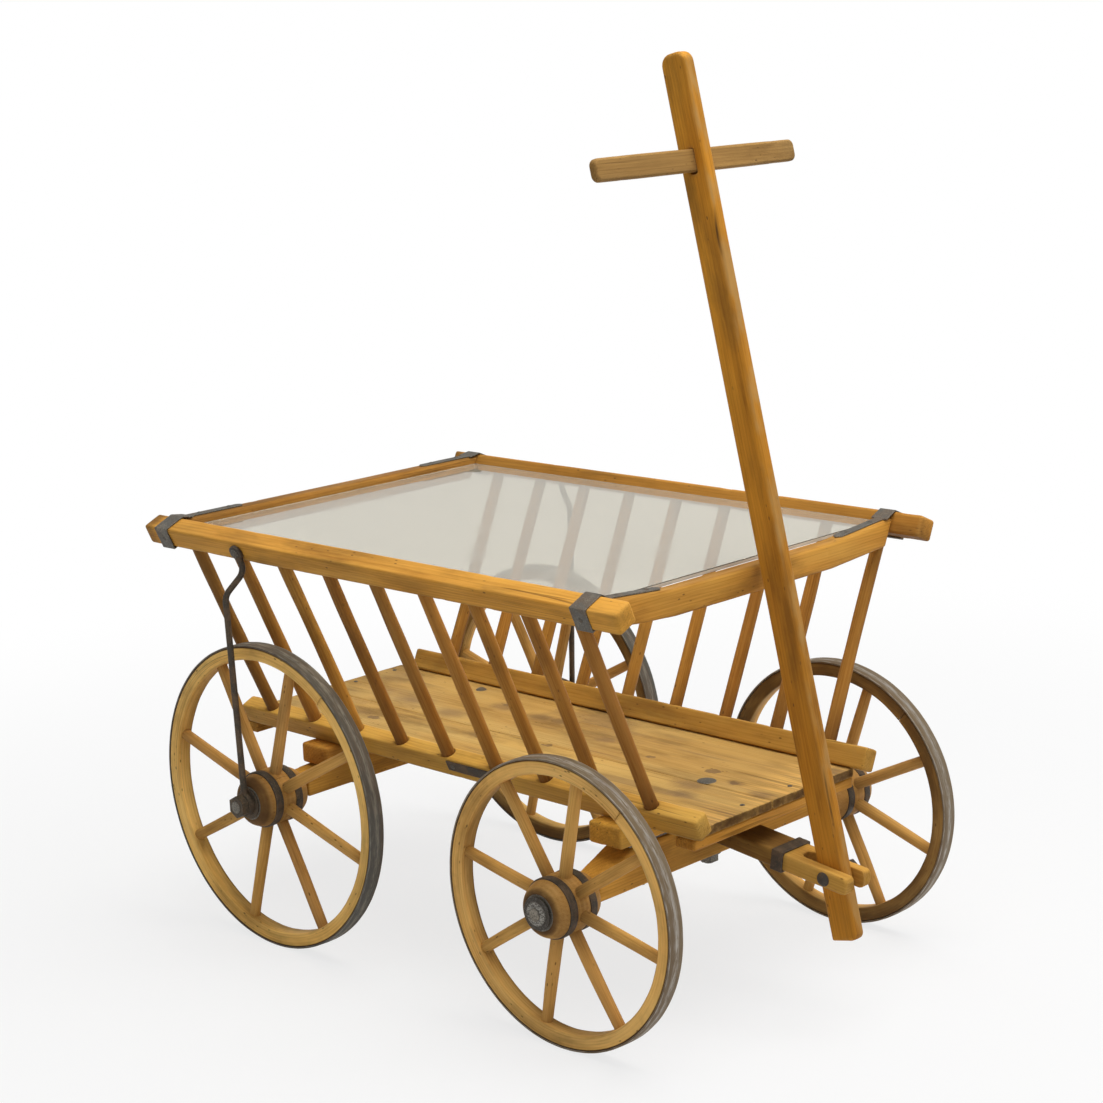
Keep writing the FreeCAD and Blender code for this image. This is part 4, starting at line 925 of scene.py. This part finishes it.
class CART_OT_spindles(bpy.types.Operator):
    """Turns the spindles between the rails, with painted shade on the upper ends of the left side's rear
    spindles
    """
    bl_idname = "cart.spindles"
    bl_label = "Spindles"

    RADIUS = 0.0095
    FOOT_SHARE = 1.02
    TOP_SHARE = 0.97
    # How far the left side's rearmost spindle is darkened, and the painted shade under the rail on the
    # upper ends of the four before it
    REAR_DARKENING = 0.75
    UPPER_SHADE = 0.26
    UPPER_SHADE_REACH = (0.34, 0.50)

    def execute(self, context):
        radius = self.RADIUS
        inset = radius * math.cos(LEAN)
        rise = radius * math.sin(LEAN)
        for side, way in SIDES.items():
            name = f"{side}_spindles"
            low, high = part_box(name)
            inner = low.x if way > 0 else high.x
            length = (high.z - low.z - 2 * rise) / math.cos(LEAN)
            run = Vector((way * math.sin(LEAN), 0, math.cos(LEAN))) * length
            sticks = []
            for index in range(SPINDLES):
                along = low.y + radius + (high.y - low.y - 2 * radius) * index / (SPINDLES - 1)
                foot = Vector((inner + way * inset, along, low.z + rise))
                sticks.append(stick(foot, foot + run, radius * self.FOOT_SHARE, radius * self.TOP_SHARE,
                                    100 + index * 7 + way * 50, sizes().bow))
            if side == "left":
                # The rearmost left spindle is darkened, and painted shade under the rail darkens the upper
                # ends of the four before it
                sticks[-1].soil = np.maximum(sticks[-1].soil, self.REAR_DARKENING)
                for shaded in sticks[-5:-1]:
                    upper_shade = self.UPPER_SHADE * ramp(shaded.points[:, 2], *self.UPPER_SHADE_REACH)
                    shaded.soil = np.maximum(shaded.soil, upper_shade)
            show(joined(sticks), name, "turned_timber")
        return {"FINISHED"}


class CART_OT_bed(bpy.types.Operator):
    """Weathers the bed planks and the battens under their ends"""
    bl_idname = "cart.bed"
    bl_label = "Bed"

    WAVE = 0.0006
    END_SOIL = 0.9

    def execute(self, context):
        for seed, name in ((41, "left_bed_plank"), (42, "right_bed_plank")):
            shape = weathered(name, REAR, RIGHT, seed, wave=self.WAVE, ragged=sizes().ragged)
            shape.soil = shape.end * self.END_SOIL
            show(shape, name, "bed_boards")
        shape = weathered("bed_battens", RIGHT, REAR, 43)
        show(shape, "bed_battens", "honey_timber")
        return {"FINISHED"}


class CART_OT_beams(bpy.types.Operator):
    """Weathers the bolsters, the axle beams and the forked tongue, with painted shade on the tongue under
    the bed
    """
    bl_idname = "cart.beams"
    bl_label = "Beams and tongue"

    BEAMS = ("front_bolster", "rear_bolster", "front_axle_beam", "rear_axle_beam")
    # The painted shade on the tongue behind its fork, under the bed, and from where to where it grows
    TONGUE_SHADE = 0.85
    TONGUE_SHADE_REACH = (-0.445, -0.425)

    def execute(self, context):
        for seed, name in enumerate(self.BEAMS, 51):
            show(weathered(name, RIGHT, REAR, seed), name, "honey_timber")
        run = (0, math.cos(TONGUE_TILT), math.sin(TONGUE_TILT))
        shape = weathered("tongue", run, RIGHT, 57, sizes().fine_cell, ragged=sizes().ragged)
        # Painted shade: the tongue darkens behind its fork, where it runs under the bed
        shape.soil = self.TONGUE_SHADE * ramp(shape.points[:, 1], *self.TONGUE_SHADE_REACH)
        show(shape, "tongue", "sill_timber")
        return {"FINISHED"}


class CART_OT_pole(bpy.types.Operator):
    """Weathers the pull pole and its crossbar"""
    bl_idname = "cart.pole"
    bl_label = "Pole"

    # Each crack's place across and along the pole's section, its ends and its depth
    CRACKS = (
        (-0.0078, -0.0195, -0.47, -0.33, 0.0012),
        (-0.0040, -0.0215, -0.44, -0.36, 0.0010),
        (-0.0078, -0.0195, 0.31, 0.44, 0.0009),
    )
    # How far a crack strays from its line, how long its ends taper and how wide it pulls the wood in
    STRAY = 0.0016
    TAPER = 0.05
    PULL = 0.003
    # The soil on the pole's lower half, its front face and the crossbar's left arm
    LOWER_SOIL = 0.25
    FRONT_SOIL = 0.32
    ARM_SOIL = 0.22
    # How far the front face is rubbed
    FRONT_RUB = 0.9

    def execute(self, context):
        fine = sizes().fine_cell
        up = (0, math.sin(POLE_LEAN), math.cos(POLE_LEAN))
        shape = weathered("pole", up, RIGHT, 61, fine)
        self.split(shape)
        show(shape, "pole", "pole_timber")
        back = (0, math.cos(POLE_LEAN), -math.sin(POLE_LEAN))
        shape = weathered("crossbar", RIGHT, back, 66, fine)
        shape.soil = self.ARM_SOIL * ramp(shape.points[:, 0], 0, -0.04)
        show(shape, "crossbar", "handle_timber")
        return {"FINISHED"}

    def split(self, shape):
        """Opens the long drying cracks near the pole's front left edge and soils its faces."""
        turn = np.array(shape.matrix.to_3x3())
        local = (shape.points - np.array(shape.matrix.translation)) @ turn
        blank = np.zeros(len(local))
        soil = blank
        for across, back, low, high, depth in self.CRACKS:
            line = np.column_stack([local[:, 2] / 0.05, blank + across * 900, blank])
            side = across + self.STRAY * scatter(line, 71)
            deep = back + self.STRAY * scatter(line + 5, 72)
            away = np.hypot(local[:, 0] - side, local[:, 1] - deep)
            run = ramp(np.minimum(local[:, 2] - low, high - local[:, 2]), 0, self.TAPER)
            soil = np.maximum(soil, run * ramp(away, 0.0024, 0.0008))
            pull = depth * run * ramp(away, self.PULL, 0)
            inward = -local[:, :2] / np.maximum(np.linalg.norm(local[:, :2], axis=1), 1e-6)[:, None]
            local[:, :2] += inward * pull[:, None]
        shape.points = to_cart(local, shape.matrix)
        front = ramp(local[:, 1], -0.0175, -0.0205)
        lower = ramp(local[:, 2], 0.08, -0.32)
        shape.edge = np.maximum(shape.edge, self.FRONT_RUB * front)
        shape.soil = np.maximum.reduce([soil, self.LOWER_SOIL * lower, self.FRONT_SOIL * front])


class CART_OT_wheels(bpy.types.Operator):
    """Turns the hubs, spokes and felloes, and shrinks the bands and tyres on, with painted shade on the
    felloes' inner faces and on the rear treads
    """
    bl_idname = "cart.wheels"
    bl_label = "Wheels"

    # The outlines of a hub and its outer band: places along the axle, radii and roundings, in millimetres
    HUB = (
        (-43.5, 14.1, 0), (40.5, 14.1, 0), (40.5, 25.05, 0), (43.4, 25.05, 0.4), (43.4, 28, 3),
        (39.5, 33.6, 5), (33, 37.6, 6), (25.2, 40.0, 0.8), (25, 38.4, 0), (12, 38.4, 0),
        (11.8, 41, 0.8), (7.5, 41.8, 1), (0, 42.5, 6), (-7.5, 41.8, 1), (-11.8, 41, 0.8),
        (-12, 38.4, 0), (-25, 38.4, 0), (-25.2, 40.0, 0.8), (-39, 33.5, 5), (-43.5, 30, 2),
    )
    BAND = ((12, 38.5, 0), (25, 38.5, 0), (25, 41.8, 1.2), (18.5, 42.2, 4), (12, 41.8, 1.2))
    TURNED_SEGMENTS = 96
    RIM_SEGMENTS = 220
    # Where a spoke starts, how far inside the tyre it ends, and its radii there
    SPOKE_START = 0.024
    SPOKE_END = 0.010
    SPOKE_RADII = (0.009, 0.008)
    SPOKE_BOW = 0.6
    # The depths of felloe and tyre from the tread, half their widths, and the felloe's open joint
    FELLOE_DEPTH = 0.023
    TYRE_DEPTH = 0.0032
    FELLOE_HALF = 0.0125
    TYRE_HALF = 0.013
    JOINT = 0.0016
    # Grease on the hubs' noses, front and rear, and from where to where it grows
    GREASE = 0.9
    GREASE_REACH = {"front": (0.0385, 0.0425), "rear": (0.027, 0.037)}
    # How light the felloes are, front and rear, and the dirt and painted shade on their inner faces
    FELLOE_TONES = {"front": 0.55, "rear": 0.9}
    FELLOE_SOIL = 0.85
    # Each pair's tread finish; the rear treads' darker copy is painted shade
    TREADS = {"front": "tread_iron", "rear": "rear_tread_iron"}

    def execute(self, context):
        for number, (wheel, (radius, phase, joint)) in enumerate(WHEELS.items()):
            centre = PIVOTS[f"{wheel}_roll"]
            pair, side = wheel.split("_")
            seed = 200 + 31 * number
            self.hub(wheel, pair, centre, SIDES[side], seed)
            self.spokes(wheel, centre, radius, phase, seed + 1)
            self.rim(wheel, pair, centre, SIDES[side], radius, math.radians(joint), seed + 10)
        return {"FINISHED"}

    def hub(self, wheel, pair, centre, way, seed):
        """The turned hub and its two bands."""
        shape = swept(in_metres(self.HUB), centre, way, self.TURNED_SEGMENTS, seed, 0.0004)
        out = way * (shape.points[:, 0] - centre.x)
        shape.soil = self.GREASE * ramp(out, *self.GREASE_REACH[pair])
        show(shape, f"{wheel}_hub", "hub_timber")
        bands = []
        for sign in (-1, 1):
            corners = in_metres(self.BAND, sign)[::sign]
            bands.append(swept(corners, centre, way, self.TURNED_SEGMENTS, seed + 5 + sign, 0.0005))
        show(joined(bands), f"{wheel}_hub_bands", "band_iron")

    def spokes(self, wheel, centre, radius, phase, seed):
        """Eight shaved spokes from the hub to the felloe."""
        sticks = []
        for index in range(SPOKES):
            angle = math.radians(phase + 360 / SPOKES * index)
            out = Vector((0, math.cos(angle), math.sin(angle)))
            sticks.append(stick(centre + out * self.SPOKE_START, centre + out * (radius - self.SPOKE_END),
                                *self.SPOKE_RADII, seed * 3 + index * 11, sizes().bow * self.SPOKE_BOW))
        show(joined(sticks), f"{wheel}_spokes", "spoke_timber")

    def rim(self, wheel, pair, centre, way, radius, joint, seed):
        """The bent felloe, open at its joint, and the tyre round it."""
        outer = radius - self.TYRE_DEPTH
        inner = radius - self.FELLOE_DEPTH
        half = self.FELLOE_HALF
        corners = [(-half, outer, 0.0022), (-half, inner, 0.0042),
                   (half, inner, 0.0042), (half, outer, 0.0022)]
        shape = swept(corners, centre, way, self.RIM_SEGMENTS, seed, 0.0006, (joint, self.JOINT), True)
        shape.tone = np.full(len(shape.points), self.FELLOE_TONES[pair])
        away = from_axle(shape, centre)
        out = way * (shape.points[:, 0] - centre.x)
        # Dirt and painted shade darken the felloes' inner faces
        inner_shade_and_dirt = self.FELLOE_SOIL * ramp(out, -0.0048, -0.0108)
        shape.soil = np.maximum(ramp(away, outer - 0.0022, outer - 0.0012), inner_shade_and_dirt)
        show(shape, f"{wheel}_felloe", "wheel_timber")
        half = self.TYRE_HALF
        corners = [(-half, outer + 0.0002, 0.0004), (half, outer + 0.0002, 0.0004),
                   (half, radius - 0.0003, 0.002), (0, radius, 0.008), (-half, radius - 0.0003, 0.002)]
        shape = swept(corners, centre, way, self.RIM_SEGMENTS, seed + 3, 0.00045, hoop=True)
        show(shape, f"{wheel}_tyre", self.TREADS[pair])


class CART_OT_ironwork(bpy.types.Operator):
    """Forges the straps, stays, plates and bands, and files the nuts, bolts and nails"""
    bl_idname = "cart.ironwork"
    bl_label = "Ironwork"

    FORGED = ("corner_straps", "rear_stays", "tongue_band", "rub_plates")
    FILED = ("stay_bolts", "kingbolt", "bed_bolts", "front_axle_bolts", "fork_bolt", "nails",
             "rear_axle_nuts", "upper_wear_plate", "lower_wear_plate", "rear_axle", "front_axle")
    GREASY = ("rear_stays", "tongue_band", "rub_plates", "fork_bolt", "rear_axle_nuts")
    # The hammer's waves and dents in forged pieces
    WAVE = 0.00022
    DENT = 0.0003

    def execute(self, context):
        for seed, name in enumerate(self.FORGED, 301):
            shape = weathered(name, UP, RIGHT, seed, sizes().iron_cell, light=2, heavy=6,
                              wave=self.WAVE, dent=self.DENT)
            show(shape, name, self.finish(name))
        for name in self.FILED:
            filed(name, sizes().ease, self.finish(name))
        self.front_nuts()
        for wheel in WHEELS:
            filed(f"{wheel}_hub_bush", sizes().ease, "strap_iron")
        return {"FINISHED"}

    def finish(self, name):
        return "band_iron" if name in self.GREASY else "strap_iron"

    def front_nuts(self):
        """The round nuts of the front axle: a worn bright boss on a flange darkened as painted shadow of
        the gap round the nut.
        """
        low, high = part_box("front_axle_nuts")
        wide = (high.z - low.z) / 2
        boss = wide * 0.74
        flange = wide * 0.99
        bore = 0.0092
        nuts = []
        for side, way in SIDES.items():
            centre = PIVOTS[f"front_{side}_roll"]
            face = high.x - abs(centre.x)
            seat = face - 0.005
            step = face - 0.0034
            corners = [
                (seat, bore, 0), (face, bore, 0.0005), (face, wide * 0.62, 0.0014),
                (face - 0.0022, wide * 0.72, 0.0010), (step, boss, 0.0006), (step, flange, 0.0006),
                (seat, flange, 0),
            ]
            nut = swept(corners, centre, way, segments=72, seed=91, relief=0.0005)
            # Only the boss is rubbed bright; the flange keeps the dark colour, which paints the shadow in
            # the gap round the nut
            nut.edge = ramp(from_axle(nut, centre), boss, boss - 0.0015)
            nuts.append(nut)
        show(joined(nuts), "front_axle_nuts", "bare_steel")


class CART_OT_glass(bpy.types.Operator):
    """Lays the glass table top in the frame"""
    bl_idname = "cart.glass"
    bl_label = "Glass top"

    def execute(self, context):
        pane = filed("glass_top", sizes().arris, "plate_glass").data
        pane.materials.append(bpy.data.materials["glass_edge"])
        for face in pane.polygons:
            face.material_index = int(abs(face.normal.z) < 0.5)
        return {"FINISHED"}


class CART_OT_stage(bpy.types.Operator):
    """Sets the pale floor, the soft lamps, the white surroundings and the camera"""
    bl_idname = "cart.stage"
    bl_label = "Stage"

    # Each lamp's place, width and power, and the point that all of them face
    LAMPS = {
        "overhead": ((0.4, -0.9, 3.5), 3.0, 140),
        "front": ((1.8, -3.2, 1.9), 2.2, 15.5),
        "side": ((-3.4, -0.4, 1.3), 2.2, 10.5),
        "back": ((1.0, 3.2, 2.6), 2.6, 18),
    }
    LAMP_AIM = (0, 0, 0.45)
    FLOOR_RADIUS = 40
    # How white the floor looks close by and far off, and where that changes
    FLOOR_WHITE = (0.76, 1.0)
    FLOOR_REACH = (0.6, 2.4)
    SOFT_LIGHT = 0.25
    # The camera's place, its turn, drop and roll in degrees, and its lens
    CAMERA_PLACE = (-2.4641, -2.3896, 1.3456)
    CAMERA_ANGLES = (-45.82, 12.815, -2.109)
    SENSOR = 36
    FOCAL_LENGTH = 79.47
    LENS_SHIFT = (0.0005, 0.0114)
    CLIP_END = 200

    def execute(self, context):
        context.scene.view_settings.view_transform = "Standard"
        self.floor()
        for name, (place, width, power) in self.LAMPS.items():
            lamp = bpy.data.lights.new(name, "AREA")
            lamp.size = width
            lamp.energy = power
            holder = linked(name, lamp)
            holder.location = place
            holder.visible_glossy = False
            aim = Vector(self.LAMP_AIM) - Vector(place)
            holder.rotation_euler = aim.to_track_quat("-Z", "Y").to_euler()
        self.surroundings()
        self.camera()
        return {"FINISHED"}

    def floor(self):
        """A wide pale floor that looks white and keeps the cart's shadow."""
        work = bmesh.new()
        bmesh.ops.create_circle(work, cap_ends=True, segments=96, radius=self.FLOOR_RADIUS)
        mesh = bpy.data.meshes.new("floor")
        work.to_mesh(mesh)
        work.free()
        floor = linked("floor", mesh)
        looks = {"Base Color": tint("floor"), "Roughness": 0.9, "Specular IOR Level": 0.1}
        graph = new_material("floor", looks)[0]
        rays = background_rays(graph)
        glow = graph.add("ShaderNodeEmission", {"Color": WHITE, "Strength": 1.0}).outputs[0]
        surface = graph.tree.nodes["Principled BSDF"].outputs[0]
        far = graph.length(graph.place())
        share = graph.times(rays, graph.between(far, *self.FLOOR_REACH, *self.FLOOR_WHITE))
        graph.blended(share, surface, glow)
        mesh.materials.append(bpy.data.materials["floor"])

    def surroundings(self):
        """Even light from all round, which the camera sees as white, also through the glass."""
        world = bpy.data.worlds.new("studio")
        bpy.context.scene.world = world
        world.use_nodes = True
        graph = Graph(world.node_tree)
        rays = background_rays(graph)
        soft = graph.tree.nodes["Background"]
        soft.inputs["Color"].default_value = WHITE
        soft.inputs["Strength"].default_value = self.SOFT_LIGHT
        white = graph.add("ShaderNodeBackground", {"Color": WHITE, "Strength": 1.0}).outputs[0]
        graph.blended(rays, soft.outputs[0], white, "World Output")

    def camera(self):
        """The viewpoint: above and to the front left, level with the pole's handle."""
        turn, drop, roll = (math.radians(angle) for angle in self.CAMERA_ANGLES)
        back = Vector((math.sin(turn) * math.cos(drop), -math.cos(turn) * math.cos(drop), math.sin(drop)))
        right = Vector((math.cos(turn), math.sin(turn), 0))
        up = back.cross(right)
        across = right * math.cos(roll) + up * math.sin(roll)
        upright = up * math.cos(roll) - right * math.sin(roll)
        lens = bpy.data.cameras.new("camera")
        lens.sensor_width = self.SENSOR
        lens.lens = self.FOCAL_LENGTH
        lens.shift_x, lens.shift_y = self.LENS_SHIFT
        lens.clip_end = self.CLIP_END
        camera = linked("camera", lens)
        turned = Matrix((across, upright, back)).transposed().to_4x4()
        camera.matrix_world = Matrix.Translation(self.CAMERA_PLACE) @ turned
        bpy.context.scene.camera = camera


OPERATORS = (CART_OT_finishes, CART_OT_rails, CART_OT_spindles, CART_OT_bed, CART_OT_beams, CART_OT_pole,
             CART_OT_wheels, CART_OT_ironwork, CART_OT_glass, CART_OT_stage)


class CART_PT_panel(bpy.types.Panel):
    """Lists the cart's pieces in the sidebar"""
    bl_label = "Wagon cart table"
    bl_space_type = "VIEW_3D"
    bl_region_type = "UI"
    bl_category = "Cart"

    def draw(self, context):
        for operator in OPERATORS:
            self.layout.operator(operator.bl_idname)
        for group in (context.scene.cart_sizes, context.scene.cart_colours):
            for name in group.__annotations__:
                self.layout.prop(group, name)


CLASSES = (CartSizes, CartColours, *OPERATORS, CART_PT_panel)


def register():
    for each in CLASSES:
        bpy.utils.register_class(each)
    bpy.types.Scene.cart_sizes = PointerProperty(type=CartSizes)
    bpy.types.Scene.cart_colours = PointerProperty(type=CartColours)


def unregister():
    del bpy.types.Scene.cart_colours
    del bpy.types.Scene.cart_sizes
    for each in reversed(CLASSES):
        bpy.utils.unregister_class(each)


def main():
    register()
    for operator in OPERATORS:
        group, name = operator.bl_idname.split(".")
        getattr(getattr(bpy.ops, group), name)()


if __name__ == "__main__":
    main()
